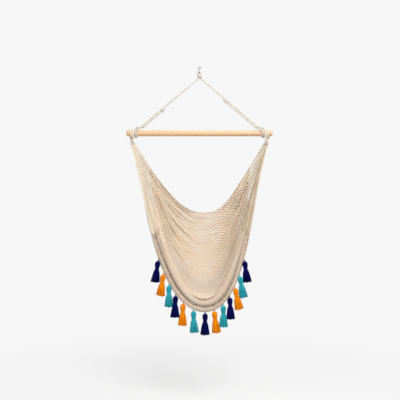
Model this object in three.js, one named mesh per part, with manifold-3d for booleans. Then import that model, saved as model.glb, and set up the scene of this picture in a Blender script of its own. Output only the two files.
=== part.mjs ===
// Hammock chair: a gathered net sling on a wooden spreader bar, hung by rope from one steel hook.
// Millimetres, +Z up, the front faces -Y and +X is to the right as seen from the front.
// The origin is the hang point, the inner top of the hook's upper bend.

import * as THREE from 'three';
import { mergeVertices } from 'three/addons/utils/BufferGeometryUtils.js';
import Module from 'manifold-3d';

const wasm = await Module();
wasm.setup();

// Gaps kept between pieces that touch, and between the turns of one winding
const seatGap = 0.3;
const turnGap = 0.5;

// Round wooden spreader bar
const barLength = 914;
const barDiameter = 38;
const barDrop = 415;
const barEndRound = 9;
const barFacets = 24;

// Steel S-hook, its lower bend turned a quarter turn from its upper bend
const hookWire = 5.5;
const hookBore = 8.5;
const hookLoopDrop = 34;
const hookTipLength = 5;
const hookStemRun = 7;

// Suspension rope: the loop on the hook, the two legs and their tails
const ropeDiameter = 10;
const loopWidth = 31;
const throatDrop = 54;
const tailCutLength = 26;
const legSpread = 10.6;
const leftTailLength = 217;
const rightTailLength = 305;
const tailJoinRun = 45;
const ropeTurns = 1.5;

// Whipping at the throat and the seizings that hold the tails
const whippingCord = 3.2;
const whippingTurns = 3;
const seizingCord = 3;
const seizingTurns = 2;
const seizingInset = 16;
const throatRun = 2;

// Eyes of the sling on the bar and the bindings under them
const eyeCord = 12;
const eyeTurns = 1.5;
const eyeEndInset = 24;
const bindingCord = 6;
const bindingTurns = 2;
const neckTop = 46;
const neckInset = 37;
const neckWidth = 24;

// Sling: the profile at its middle, from the back edge to the front edge
const seatReach = 1100;
const backLean = THREE.MathUtils.degToRad(23.3);
const frontLean = THREE.MathUtils.degToRad(9.6);
const lowPointDrift = 30;
const profileLeanShares = [
  1, 0.957, 0.867, 0.742, 0.558, 0.33, 0.107, -0.3, -0.885, -1.03, -0.96, -1.085, -1,
];
const profileReachShares = [
  0.498, 0.59, 0.69, 0.79, 0.872, 0.928, 0.95, 0.952, 0.9385, 0.957, 0.971, 0.989, 1,
];
const crestShare = 0.891;

// Shape of each cord of the sling between the neck and its low point, as shares
const backHandleShares = { neckAcross: 0.51, neckDown: 0.8, lowAcross: 0.31 };
const crestHandleShares = { neckAcross: 0.42, neckDown: 0.515, lowAcross: 0.415 };
const edgeHandleShares = { neckAcross: 0.225, neckDown: 0.23, lowAcross: 0.68 };

// Net body of the sling, its edge ropes and the end cords that gather it to the necks
const netThickness = 5;
const netBackDrop = 225;
const netFrontDrop = 650;
const foldDepth = 11;
const foldCount = 4;
const edgeRopeDiameter = 6;
const endCordDiameter = 5;
const cordsPerBundle = 4;
const bundlesPerSide = 4;

// Tassels along the front edge
const tasselLength = 124;
const headDiameter = 33;
const headHeight = 38;
const tasselNeckDiameter = 23;
const skirtDiameter = 50;
const tieWidth = 7;
const tieThickness = 2.2;
const tasselKnotDiameter = 7;
const tasselStemDiameter = 4;
const tasselHeadDrop = 8;
const tasselRibs = 6;
const tasselSides = tasselRibs * 2;
const tasselPlaceShares = [
  -0.377, -0.302, -0.239, -0.176, -0.12, -0.057, 0.003, 0.05, 0.103, 0.156, 0.21, 0.275, 0.358,
];
const tasselLeans = [-7.7, -8, 0, -2.3, -1.6, 1.8, -1, 5.6, 1.9, 2.3, 10.8, 9.6, 6.7];

const ropeRadius = ropeDiameter / 2;
const barRadius = barDiameter / 2;
const neckOffset = barLength / 2 - neckInset;
const edgeRadius = edgeRopeDiameter / 2;
const up = new THREE.Vector3(0, 0, 1);
const across = new THREE.Vector3(1, 0, 0);
const backwards = new THREE.Vector3(0, 1, 0);
const forwards = new THREE.Vector3(0, -1, 0);
const downwards = new THREE.Vector3(0, 0, -1);

const materials = {
  steel: new THREE.MeshStandardMaterial({ color: 0x6f7275, roughness: 0.38, metalness: 1 }),
  rope: new THREE.MeshStandardMaterial({ color: 0xd8cdbf, roughness: 0.95, metalness: 0 }),
  wood: new THREE.MeshStandardMaterial({ color: 0xe6b884, roughness: 0.55, metalness: 0 }),
  cord: new THREE.MeshStandardMaterial({ color: 0xe2d2bf, roughness: 0.95, metalness: 0 }),
  net: new THREE.MeshStandardMaterial({ color: 0xe0c8aa, roughness: 0.95, metalness: 0 }),
  navy: new THREE.MeshStandardMaterial({ color: 0x0d1150, roughness: 0.95, metalness: 0 }),
  orange: new THREE.MeshStandardMaterial({ color: 0xf59a12, roughness: 0.95, metalness: 0 }),
  teal: new THREE.MeshStandardMaterial({ color: 0x35b2be, roughness: 0.95, metalness: 0 }),
};
const tasselColours = ['navy', 'orange', 'teal'];

const chair = new THREE.Group();

function add(name, geometry, material) {
  const mesh = new THREE.Mesh(geometry, material);
  mesh.name = name;
  chair.add(mesh);
  return mesh;
}

function smoothstep(share) {
  const held = Math.min(Math.max(share, 0), 1);
  return held * held * (3 - 2 * held);
}

// Tube of round section along a smooth curve
function tubeAlong(curve, radius, sides, steps) {
  const section = new THREE.Shape();
  for (let side = 0; side < sides; side += 1) {
    const angle = (side / sides) * 2 * Math.PI;
    const corner = new THREE.Vector2(radius * Math.cos(angle), radius * Math.sin(angle));
    if (side === 0) {
      section.moveTo(corner.x, corner.y);
    } else {
      section.lineTo(corner.x, corner.y);
    }
  }
  return new THREE.ExtrudeGeometry(section, { steps, bevelEnabled: false, extrudePath: curve });
}

// Tube through every given point, with an optional round nose at its start
function tubeThrough(points, radius, sides, roundNose = false) {
  const rings = points.map((centre) => ({ centre, radius }));
  const directions = points.map((point, index) => {
    const before = points[Math.max(index - 1, 0)];
    const after = points[Math.min(index + 1, points.length - 1)];
    return after.clone().sub(before).normalize();
  });
  if (roundNose) {
    const noseSteps = 3;
    for (let step = 1; step <= noseSteps; step += 1) {
      const angle = (step / (noseSteps + 1)) * (Math.PI / 2);
      const centre = points[0].clone().addScaledVector(directions[step - 1], -radius * Math.sin(angle));
      rings.unshift({ centre, radius: radius * Math.cos(angle) });
      directions.unshift(directions[0].clone());
    }
  }
  const noseTip = roundNose
    ? points[0].clone().addScaledVector(directions[0], -radius)
    : rings[0].centre.clone();
  const positions = [];
  let side = new THREE.Vector3().crossVectors(directions[0], up);
  if (side.length() < 0.1) {
    side = new THREE.Vector3().crossVectors(directions[0], across);
  }
  rings.forEach((ring, index) => {
    const direction = directions[index];
    side.addScaledVector(direction, -side.dot(direction)).normalize();
    const other = new THREE.Vector3().crossVectors(direction, side);
    for (let corner = 0; corner < sides; corner += 1) {
      const angle = (corner / sides) * 2 * Math.PI;
      const point = ring.centre.clone();
      point.addScaledVector(side, ring.radius * Math.cos(angle));
      point.addScaledVector(other, ring.radius * Math.sin(angle));
      positions.push(point.x, point.y, point.z);
    }
  });
  const end = rings[rings.length - 1].centre;
  positions.push(noseTip.x, noseTip.y, noseTip.z, end.x, end.y, end.z);
  const first = rings.length * sides;
  const faces = [];
  for (let ring = 0; ring < rings.length - 1; ring += 1) {
    for (let corner = 0; corner < sides; corner += 1) {
      const next = (corner + 1) % sides;
      const a = ring * sides + corner;
      const b = ring * sides + next;
      faces.push(a, b, b + sides, a, b + sides, a + sides);
    }
  }
  for (let corner = 0; corner < sides; corner += 1) {
    const next = (corner + 1) % sides;
    const last = (rings.length - 1) * sides;
    faces.push(first, next, corner, first + 1, last + corner, last + next);
  }
  return solidFrom(positions, faces);
}

function solidFrom(positions, faces) {
  const geometry = new THREE.BufferGeometry();
  geometry.setAttribute('position', new THREE.Float32BufferAttribute(positions, 3));
  geometry.setIndex(faces);
  geometry.computeVertexNormals();
  return geometry;
}

function toManifold(geometry) {
  const bare = new THREE.BufferGeometry();
  bare.setAttribute('position', geometry.getAttribute('position').clone());
  if (geometry.index) {
    bare.setIndex(geometry.index.clone());
  }
  const merged = mergeVertices(bare, 1e-4);
  return new wasm.Manifold(new wasm.Mesh({
    numProp: 3,
    vertProperties: new Float32Array(merged.getAttribute('position').array),
    triVerts: new Uint32Array(merged.index.array),
  }));
}

// Several solids that run into each other, as one body, cut back from the room of another
function fused(geometries, room) {
  const joined = geometries.map(toManifold).reduce((sum, part) => sum.add(part));
  const pieces = joined.subtract(room).decompose();
  const whole = pieces.reduce((largest, piece) => (piece.volume() > largest.volume() ? piece : largest));
  const mesh = whole.getMesh();
  return solidFrom(Array.from(mesh.vertProperties), Array.from(mesh.triVerts));
}

// Points of a winding: turns round an oval core, or a round one where halfStraight is zero
function windingPoints({ centre, axis, start, side, radius, halfStraight = 0, pitch, turns, steps }) {
  const straightSharpness = 4;
  const slack = halfStraight > 0 ? 0.94 : Math.cos(Math.PI / steps);
  const points = [];
  const count = Math.round(turns * steps);
  for (let step = 0; step <= count; step += 1) {
    const angle = (step / steps) * 2 * Math.PI;
    const shift = THREE.MathUtils.clamp(Math.cos(angle) * straightSharpness, -1, 1) * halfStraight;
    const point = centre.clone().addScaledVector(axis, pitch * (step / steps - turns / 2));
    point.addScaledVector(start, (radius / slack) * Math.cos(angle) + shift);
    point.addScaledVector(side, (radius / slack) * Math.sin(angle));
    points.push(point);
  }
  return points;
}

// Least gap between parts of one tube that lie half a turn or more apart along it
function printLeastGap(name, points, diameter, steps) {
  let least = Infinity;
  for (let a = 0; a < points.length; a += 1) {
    for (let b = a + Math.ceil(steps / 2); b < points.length; b += 1) {
      least = Math.min(least, points[a].distanceTo(points[b]) - diameter);
    }
  }
  console.log(`${name}: least gap to itself ${least.toFixed(2)} mm`);
}

// Short straight ends, one diameter long, that carry a winding's first and last directions on
function withStraightEnds(points, length) {
  const last = points.length - 1;
  const lead = points[0].clone().sub(points[1]).normalize().multiplyScalar(length).add(points[0]);
  const trail = points[last].clone().sub(points[last - 1]).normalize().multiplyScalar(length).add(points[last]);
  return [lead, ...points, trail];
}

// Hook: upper bend in the XZ plane, a slanting stem, lower bend in the YZ plane
function hookGeometry() {
  const wireRadius = hookWire / 2;
  const upperRadius = hookBore / 2 + wireRadius;
  const lowerRadius = ropeRadius + seatGap + wireRadius;
  const points = [];
  const arcSteps = 9;
  const tipAngle = -Math.PI / 5;
  for (let step = 0; step <= arcSteps; step += 1) {
    const angle = tipAngle + (step / arcSteps) * (Math.PI - tipAngle);
    const x = upperRadius * Math.cos(angle);
    points.push(new THREE.Vector3(x, 0, upperRadius * Math.sin(angle) - hookBore / 2));
  }
  points.push(new THREE.Vector3(-upperRadius, 0, -upperRadius));
  points.push(new THREE.Vector3(0, lowerRadius, hookStemRun - hookLoopDrop));
  for (let step = 0; step <= arcSteps; step += 1) {
    const angle = (step / arcSteps) * Math.PI;
    const y = lowerRadius * Math.cos(angle);
    points.push(new THREE.Vector3(0, y, -hookLoopDrop - lowerRadius * Math.sin(angle)));
  }
  points.push(new THREE.Vector3(0, -lowerRadius, hookTipLength - hookLoopDrop));
  return tubeAlong(new THREE.CatmullRomCurve3(points, false, 'centripetal'), wireRadius, 8, 38);
}

// Loop of rope: over the hook's lower bend and down both sides into the throat
function loopGeometry() {
  const bend = loopWidth / 2 - ropeRadius;
  const centreDrop = hookLoopDrop + bend;
  const points = [new THREE.Vector3(-legSpread / 2, 0, -throatEnd)];
  points.push(new THREE.Vector3(-legSpread / 2, 0, -throatDrop - seatGap));
  const arcSteps = 10;
  const arcReach = Math.PI / 10;
  for (let step = 0; step <= arcSteps; step += 1) {
    const angle = Math.PI + arcReach - (step / arcSteps) * (Math.PI + 2 * arcReach);
    points.push(new THREE.Vector3(bend * Math.cos(angle), 0, bend * Math.sin(angle) - centreDrop));
  }
  points.push(new THREE.Vector3(legSpread / 2, 0, -throatDrop - seatGap));
  points.push(new THREE.Vector3(legSpread / 2, 0, -throatEnd));
  return tubeAlong(new THREE.CatmullRomCurve3(points, false, 'centripetal'), ropeRadius, 8, 26);
}

// Cut end of the rope, standing up in front of the loop's left side
function loopTailGeometry() {
  const radius = ropeRadius * 0.8;
  const front = -(ropeRadius + radius + 2 * seatGap);
  const foot = throatDrop - turnGap;
  const points = [
    new THREE.Vector3(-legSpread * 0.66, front, -foot),
    new THREE.Vector3(-legSpread * 0.9, front, tailCutLength * 0.25 - foot),
    new THREE.Vector3(-legSpread * 1.25, front, tailCutLength * 0.6 - foot),
    new THREE.Vector3(-legSpread * 1.6, front, tailCutLength - foot),
  ];
  return tubeAlong(new THREE.CatmullRomCurve3(points, false, 'centripetal'), radius, 8, 5);
}

const whippingPitch = whippingCord + turnGap;
const whippingHeight = whippingPitch * whippingTurns + whippingCord;
const swingDrop = throatDrop + whippingHeight + throatRun;
const throatEnd = swingDrop - ropeRadius - seatGap;

function whippingGeometry() {
  const steps = 16;
  const points = windingPoints({
    centre: new THREE.Vector3(0, 0, -throatDrop - whippingHeight / 2),
    axis: up,
    start: across,
    side: backwards,
    radius: legSpread / 2 + ropeRadius + seatGap + whippingCord / 2,
    pitch: whippingPitch,
    turns: whippingTurns,
    steps,
  });
  printLeastGap('apex whipping', points, whippingCord, steps);
  return tubeThrough(withStraightEnds(points, whippingCord), whippingCord / 2, 6);
}

// Places along the bar of the sling's eye and the rope's turns, measured outward from the middle
const eyePitch = eyeCord + turnGap;
const eyeInner = barLength / 2 - eyeEndInset - eyeCord / 2 - eyePitch;
const eyeFlankShare = 0.12;
const ropePitch = ropeDiameter + turnGap;
const ropeOuter = eyeInner - eyeCord * (1 / 2 + eyeFlankShare) - ropeRadius - 3 * turnGap;
const ropeInner = ropeOuter - ropePitch;

// One leg: throat, straight down to the front of the bar, round it, and back up beside itself
function legPoints(side, tailLength) {
  const steps = 24;
  const wound = windingPoints({
    centre: new THREE.Vector3(side * (ropeInner + (ropePitch * ropeTurns) / 2), 0, -barDrop),
    axis: new THREE.Vector3(side, 0, 0),
    start: forwards,
    side: downwards,
    radius: barRadius + seatGap + ropeRadius,
    pitch: ropePitch,
    turns: ropeTurns,
    steps,
  });
  const throat = new THREE.Vector3((side * legSpread) / 2, 0, -swingDrop);
  const bendRise = ropeRadius * 3;
  const corner = wound[0].clone().add(new THREE.Vector3(0, 0, bendRise));
  const along = throat.clone().sub(corner).normalize();
  const lead = new THREE.QuadraticBezierCurve3(
    corner.clone().addScaledVector(along, bendRise),
    corner,
    wound[0],
  ).getPoints(4);
  lead.pop();
  const straightSteps = 3;
  const leg = [];
  for (let step = 0; step < straightSteps; step += 1) {
    leg.push(throat.clone().lerp(lead[0], step / straightSteps));
  }
  const last = wound[wound.length - 1];
  const beside = new THREE.Vector3(0, 1, 0).cross(along).multiplyScalar(-side).normalize();
  const tailAt = (run) => corner.clone().addScaledVector(along, run)
    .addScaledVector(beside, ropeDiameter + turnGap);
  const tailPlace = (inward, backward, rise) => new THREE.Vector3(
    last.x - side * inward * ropeDiameter,
    backward * last.y,
    last.z + rise * ropeDiameter,
  );
  const crossing = new THREE.CatmullRomCurve3(
    [
      last,
      tailPlace(-0.05, 1, 1),
      tailPlace(0.05, 0.93, 2.4),
      tailPlace(1, 0.55, 3.5),
      tailPlace(2.6, 0, 3.6),
      tailPlace(4.2, -0.55, 3.3),
      tailAt(tailJoinRun),
      tailAt(tailJoinRun * 1.3),
    ],
    false,
    'centripetal',
  ).getPoints(12);
  crossing.shift();
  const tail = [tailAt((tailJoinRun + tailLength) / 2), tailAt(tailLength)];
  const points = [...leg, ...lead, ...wound, ...crossing, ...tail];
  return { points, along, beside, corner, steps };
}

function addLeg(name, side, tailLength) {
  const { points, along, beside, corner, steps } = legPoints(side, tailLength);
  printLeastGap(name, points, ropeDiameter, steps);
  add(name, tubeThrough(points, ropeRadius, 8, true), materials.rope);
  const seizingSteps = 16;
  const midway = (ropeDiameter + turnGap) / 2;
  const seizing = windingPoints({
    centre: corner.clone().addScaledVector(along, tailLength - seizingInset).addScaledVector(beside, midway),
    axis: along,
    start: beside,
    side: new THREE.Vector3().crossVectors(along, beside),
    radius: ropeRadius + seatGap + seizingCord / 2,
    halfStraight: midway,
    pitch: seizingCord + turnGap,
    turns: seizingTurns,
    steps: seizingSteps,
  });
  printLeastGap(`${name} seizing`, seizing, seizingCord, seizingSteps);
  add(`${name}_seizing`, tubeThrough(seizing, seizingCord / 2, 6), materials.cord);
}

function barGeometry() {
  const half = barLength / 2;
  const profile = [new THREE.Vector2(0, -half)];
  const roundSteps = 3;
  for (let step = 0; step <= roundSteps; step += 1) {
    const angle = (step / roundSteps) * (Math.PI / 2);
    profile.push(new THREE.Vector2(
      barRadius - barEndRound + barEndRound * Math.sin(angle),
      barEndRound - half - barEndRound * Math.cos(angle),
    ));
  }
  for (const point of profile.slice().reverse()) {
    profile.push(new THREE.Vector2(point.x, -point.y));
  }
  const geometry = new THREE.LatheGeometry(profile, barFacets);
  geometry.rotateZ(-Math.PI / 2);
  geometry.translate(0, 0, -barDrop);
  return geometry;
}

// Eye of the sling: up the front of the neck, one and a half turns round the bar, down its back
function eyePoints(side) {
  const steps = 16;
  const turns = windingPoints({
    centre: new THREE.Vector3(side * (eyeInner + (eyePitch * eyeTurns) / 2), 0, -barDrop),
    axis: new THREE.Vector3(side, 0, 0),
    start: forwards,
    side: up,
    radius: barRadius + seatGap + eyeCord / 2,
    pitch: eyePitch,
    turns: eyeTurns,
    steps,
  });
  const neckRun = bindingTurns * (bindingCord + turnGap);
  const neckHalf = eyeCord / 2 + 2 * seatGap;
  const end = (from, front) => {
    const y = (front ? -1 : 1) * neckHalf;
    const foot = new THREE.Vector3(side * neckOffset, y, -barDrop - neckTop - neckRun);
    const top = new THREE.Vector3(side * neckOffset, y, bindingCord / 2 - barDrop - neckTop);
    const aside = side * (front ? -1 : 1) * eyeCord * eyeFlankShare;
    const flank = new THREE.Vector3(from.x + aside, from.y * 0.95, -barDrop - barRadius * 0.75);
    const shoulderX = THREE.MathUtils.lerp(from.x, top.x, 0.12);
    const shoulder = new THREE.Vector3(shoulderX, from.y * 0.68, -barDrop - barRadius * 1.65);
    const straight = top.clone().lerp(foot, 0.3);
    const route = [from, flank, shoulder, top, straight, foot];
    return new THREE.CatmullRomCurve3(route, false, 'centripetal').getPoints(10);
  };
  const front = end(turns[0], true).reverse();
  front.pop();
  const back = end(turns[turns.length - 1], false);
  back.shift();
  return { points: [...front, ...turns, ...back], steps };
}

function bindingGeometry(side, name) {
  const steps = 16;
  const pitch = bindingCord + turnGap;
  const points = windingPoints({
    centre: new THREE.Vector3(side * neckOffset, 0, -barDrop - neckTop - (bindingTurns * pitch) / 2),
    axis: up,
    start: backwards,
    side: across,
    radius: eyeCord / 2 + seatGap + bindingCord / 2,
    halfStraight: eyeCord / 2 + 2 * seatGap,
    pitch,
    turns: bindingTurns,
    steps,
  });
  printLeastGap(name, points, bindingCord, steps);
  return tubeThrough(points, bindingCord / 2, 6);
}

const neckEnd = neckTop + bindingTurns * (bindingCord + turnGap) + bindingCord / 2 + endCordDiameter / 2;

// Middle profile of the sling: lean and reach of the cord that lies at this share from the back
const profileCurve = new THREE.CatmullRomCurve3(
  profileLeanShares.map((share, index) => {
    const lean = share * (share > 0 ? backLean : frontLean);
    const reach = profileReachShares[index] * seatReach;
    return new THREE.Vector3(0, reach * Math.sin(lean), -reach * Math.cos(lean));
  }),
  false,
  'centripetal',
);
profileCurve.arcLengthDivisions = 400;

function mixHandles(share) {
  const toCrest = smoothstep(share / crestShare);
  const toEdge = smoothstep((share - crestShare) / (1 - crestShare));
  const mix = (key) => THREE.MathUtils.lerp(
    THREE.MathUtils.lerp(backHandleShares[key], crestHandleShares[key], toCrest),
    edgeHandleShares[key],
    toEdge,
  );
  return { neckAcross: mix('neckAcross'), neckDown: mix('neckDown'), lowAcross: mix('lowAcross') };
}

// Across and down distances, from the bar's middle, of a cord at a share of its way from the neck
function cordAcrossDown(along, share, reach) {
  const { neckAcross, neckDown, lowAcross } = mixHandles(share);
  const neck = neckOffset + (share - 0.5) * neckWidth;
  const curve = new THREE.CubicBezierCurve(
    new THREE.Vector2(neck, neckEnd),
    new THREE.Vector2(neck * (1 - neckAcross), neckEnd + neckDown * (reach - neckEnd)),
    new THREE.Vector2(neck * lowAcross, reach),
    new THREE.Vector2(0, reach),
  );
  return curve.getPoint(along);
}

// Point of the sling. along runs from -1 at the left neck through 0 at the low point to 1 at the
// right neck, and share from 0 at the back edge to 1 at the front edge.
function slingPoint(along, share, fold = 0) {
  const middle = profileCurve.getPointAt(THREE.MathUtils.clamp(share, 0, 1));
  const reach = Math.hypot(middle.y, middle.z);
  const lean = Math.atan2(middle.y, -middle.z);
  const { x: out, y: down } = cordAcrossDown(1 - Math.abs(along), share, reach);
  const evenLean = THREE.MathUtils.lerp(backLean, -frontLean, share);
  const gathered = smoothstep((down - neckEnd) / netBackDrop);
  const lie = THREE.MathUtils.lerp(evenLean, lean, gathered);
  const x = Math.sign(along) * out + lowPointDrift * (down / reach) ** 3;
  const length = down + fold;
  return new THREE.Vector3(x, length * Math.sin(lie), -length * Math.cos(lie) - barDrop);
}

// How far along, from the low point, the net ends and the end cords begin
function netEnd(share) {
  const target = THREE.MathUtils.lerp(netBackDrop, netFrontDrop, share);
  let inner = 0;
  let outer = 1;
  for (let pass = 0; pass < 30; pass += 1) {
    const middle = (inner + outer) / 2;
    const point = slingPoint(middle, share);
    const down = Math.hypot(point.y, point.z + barDrop);
    if (down > target) {
      inner = middle;
    } else {
      outer = middle;
    }
  }
  return inner;
}

// Gathered folds of the net, deepest where the end cords take hold of it
function foldAt(along, share) {
  const nearSide = smoothstep(Math.abs(along) / netEnd(share)) ** 2;
  const body = smoothstep(share / 0.12) * smoothstep((crestShare - share) / 0.12);
  return foldDepth * nearSide * body * Math.sin(2 * Math.PI * foldCount * share);
}

function foldedPoint(along, share) {
  return slingPoint(along, share, foldAt(along, share));
}

function slingNormal(along, share) {
  const step = 1e-3;
  const alongStep = foldedPoint(along + step, share).sub(foldedPoint(along - step, share));
  const low = Math.max(share - step, 0);
  const high = Math.min(share + step, 1);
  const shareStep = foldedPoint(along, high).sub(foldedPoint(along, low));
  return new THREE.Vector3().crossVectors(alongStep, shareStep).normalize();
}

// Share of the profile that a length square to one of the sling's edges takes up beside it
function edgeShare(along, edge, length) {
  const probe = 0.01;
  const inward = edge + (edge > 0 ? -probe : probe);
  const onEdge = slingPoint(along, edge);
  const lead = slingPoint(along + (along > 0 ? -probe : probe), edge).sub(onEdge).normalize();
  const span = slingPoint(along, inward).sub(onEdge);
  span.addScaledVector(lead, -span.dot(lead));
  return (length / span.length()) * probe;
}

// Shares of the profile where the net has rows of corners, closer together on the front lip
function netRowShares() {
  const seatRows = 11;
  const lipRows = 7;
  const shares = [];
  for (let row = 0; row < seatRows; row += 1) {
    shares.push((row / seatRows) * crestShare);
  }
  for (let row = 0; row <= lipRows; row += 1) {
    shares.push(crestShare + (row / lipRows) * (1 - crestShare));
  }
  return shares;
}

const netColumns = 24;

// Closed sheet round a grid of places on the sling. Thickened and lengthened, it is the net's room.
function netGeometry(thickened = 0, lengthened = 0) {
  const columns = netColumns;
  const rows = netRowShares();
  const clear = edgeRadius + 2 * seatGap;
  const longerShare = lengthened / seatReach;
  const faces = [];
  const positions = [];
  const layerSize = (columns + 1) * rows.length;
  for (const layer of [1, -1]) {
    for (let column = 0; column <= columns; column += 1) {
      const across01 = (column / columns) * 2 - 1;
      for (const row of rows) {
        const reachAlong = across01 * (netEnd(row) + longerShare);
        const back = edgeShare(reachAlong, 0, clear);
        const front = edgeShare(reachAlong, 1, clear);
        const share = back + row * (1 - back - front);
        const point = foldedPoint(reachAlong, share);
        point.addScaledVector(slingNormal(reachAlong, share), layer * (netThickness / 2 + thickened));
        positions.push(point.x, point.y, point.z);
      }
    }
  }
  const at = (layer, column, row) => layer * layerSize + column * rows.length + row;
  const quad = (a, b, c, d) => faces.push(a, b, c, a, c, d);
  for (let column = 0; column < columns; column += 1) {
    for (let row = 0; row < rows.length - 1; row += 1) {
      quad(at(0, column, row), at(0, column + 1, row), at(0, column + 1, row + 1), at(0, column, row + 1));
      quad(at(1, column, row), at(1, column, row + 1), at(1, column + 1, row + 1), at(1, column + 1, row));
    }
    const lastRow = rows.length - 1;
    quad(at(0, column, 0), at(1, column, 0), at(1, column + 1, 0), at(0, column + 1, 0));
    quad(at(0, column, lastRow), at(0, column + 1, lastRow), at(1, column + 1, lastRow), at(1, column, lastRow));
  }
  for (let row = 0; row < rows.length - 1; row += 1) {
    quad(at(0, 0, row), at(0, 0, row + 1), at(1, 0, row + 1), at(1, 0, row));
    quad(at(0, columns, row), at(1, columns, row), at(1, columns, row + 1), at(0, columns, row + 1));
  }
  return solidFrom(positions, faces);
}

// Points of the rope along one edge of the sling, from neck to neck, bending at the net's columns
function edgeRopePoints(share) {
  const neckSteps = 7;
  const end = netEnd(share);
  const places = [];
  for (let step = 0; step < neckSteps; step += 1) {
    places.push(THREE.MathUtils.lerp(-1, -end, step / neckSteps));
  }
  for (let column = 0; column <= netColumns; column += 1) {
    places.push(((column / netColumns) * 2 - 1) * end);
  }
  for (let step = 1; step <= neckSteps; step += 1) {
    places.push(THREE.MathUtils.lerp(end, 1, step / neckSteps));
  }
  return places.map((along) => slingPoint(along, share));
}

function edgeRopeGeometry(share) {
  return tubeThrough(edgeRopePoints(share), edgeRadius, 8);
}

// Room that the end cords leave to the net: the net itself, thickened, and thickened and lengthened
const netRoom = [netGeometry(), netGeometry(seatGap), netGeometry(3 * turnGap, 3 * turnGap)]
  .map(toManifold)
  .reduce((sum, part) => sum.add(part));

// One bundle of end cords: together under the binding, spread out along the net's end
function bundleGeometry(side, bundle) {
  const neckLine = Math.hypot(neckWidth, neckEnd * (Math.sin(backLean) + Math.sin(frontLean)));
  const edgeStrip = (edgeRadius + turnGap) / neckLine;
  const cell = (1 - 2 * edgeStrip) / bundlesPerSide;
  const cellStart = edgeStrip + bundle * cell;
  const rootPitch = endCordDiameter * 0.08;
  const rootDepth = endCordDiameter * 0.4;
  const steps = 5;
  const intoNet = netThickness / seatReach;
  const cords = [];
  for (let cord = 0; cord < cordsPerBundle; cord += 1) {
    const rootShare = cellStart + cell / 2 + ((cord - (cordsPerBundle - 1) / 2) * rootPitch) / neckLine;
    const netShare = (bundle + (cord + 1 / 2) / cordsPerBundle) / bundlesPerSide;
    const held = THREE.MathUtils.clamp(netShare, edgeStrip, 1 - edgeStrip);
    const endAlong = netEnd(held) - intoNet;
    const points = [];
    for (let step = 0; step <= steps; step += 1) {
      const run = step / steps;
      const along = side * THREE.MathUtils.lerp(1, endAlong, run);
      const share = THREE.MathUtils.lerp(rootShare, held, run);
      const point = slingPoint(along, share, foldAt(endAlong, held) * run * run);
      const depth = (cord % 2 === 0 ? 1 : -1) * rootDepth * (1 - run);
      point.addScaledVector(slingNormal(along * 0.999, share), depth);
      points.push(point);
    }
    cords.push(tubeThrough(points, endCordDiameter / 2, 5));
  }
  return fused(cords, netRoom);
}

// Bends of the front edge rope and the length run from the low point to each
function frontEdgeTable() {
  const table = edgeRopePoints(1).map((point) => ({ point, run: 0 }));
  const lowest = (table.length - 1) / 2;
  for (let index = lowest + 1; index < table.length; index += 1) {
    table[index].run = table[index - 1].run + table[index].point.distanceTo(table[index - 1].point);
  }
  for (let index = lowest - 1; index >= 0; index -= 1) {
    table[index].run = table[index + 1].run - table[index].point.distanceTo(table[index + 1].point);
  }
  return table;
}

const frontEdge = frontEdgeTable();
const frontHalfRun = frontEdge[frontEdge.length - 1].run;

function frontEdgePlace(share) {
  const run = share * frontHalfRun;
  const index = frontEdge.findIndex((entry) => entry.run >= run);
  const before = frontEdge[index - 1];
  const after = frontEdge[index];
  const point = before.point.clone().lerp(after.point, (run - before.run) / (after.run - before.run));
  const tangent = after.point.clone().sub(before.point).normalize();
  return { point, tangent };
}

// Tassel under its knot: head, drawn-in neck and ribbed skirt, stepped forward of the knot
function tasselGeometry(forward) {
  const knotRadius = tasselKnotDiameter / 2;
  const stemRadius = tasselStemDiameter / 2;
  const headRadius = headDiameter / 2;
  const neckRadius = tasselNeckDiameter / 2;
  const skirtRadius = skirtDiameter / 2;
  const headTop = -tasselHeadDrop;
  const neckLevel = headTop - headHeight;
  const foot = headTop - tasselLength;
  const skirtLength = neckLevel - foot;
  const outline = [
    [0, knotRadius, 0],
    [knotRadius * 0.8, knotRadius * 0.6, 0],
    [knotRadius * 0.8, -knotRadius * 0.6, 0],
    [stemRadius, -knotRadius, 0],
    [stemRadius, headTop, 0],
    [headRadius * 0.78, headTop - headHeight * 0.13, 0],
    [headRadius, headTop - headHeight * 0.42, 0],
    [headRadius * 0.86, headTop - headHeight * 0.76, 0],
    [neckRadius, neckLevel, 0],
    [neckRadius, neckLevel - tieWidth, 0],
    [skirtRadius * 0.72, neckLevel - skirtLength * 0.36, 0.05],
    [skirtRadius, foot, 0.09],
    [0, foot, 0],
  ].reverse();
  const geometry = new THREE.LatheGeometry(outline.map(([r, z]) => new THREE.Vector2(r, z)), tasselSides);
  geometry.rotateX(Math.PI / 2);
  const position = geometry.getAttribute('position');
  const ringCount = outline.length;
  for (let index = 0; index < position.count; index += 1) {
    const spoke = Math.floor(index / ringCount) % 2;
    const depth = outline[index % ringCount][2];
    const scale = spoke === 0 ? 1 : 1 - 2 * depth;
    const underKnot = position.getZ(index) <= headTop ? 1 : 0;
    position.setX(index, position.getX(index) * scale);
    position.setY(index, position.getY(index) * scale - underKnot * forward);
  }
  return geometry;
}

function tieGeometry(forward) {
  const inner = (tasselNeckDiameter / 2 + seatGap) / Math.cos(Math.PI / tasselSides);
  const outer = inner + tieThickness;
  const top = -tasselHeadDrop - headHeight - seatGap;
  const foot = top - tieWidth + 2 * seatGap;
  const bevel = tieThickness / 2;
  const outline = [
    [inner, foot],
    [outer, foot + bevel],
    [outer, top - bevel],
    [inner, top],
    [inner, foot],
  ];
  const geometry = new THREE.LatheGeometry(outline.map(([r, z]) => new THREE.Vector2(r, z)), tasselSides);
  geometry.rotateX(Math.PI / 2);
  geometry.translate(0, -forward, 0);
  return geometry;
}

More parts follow.
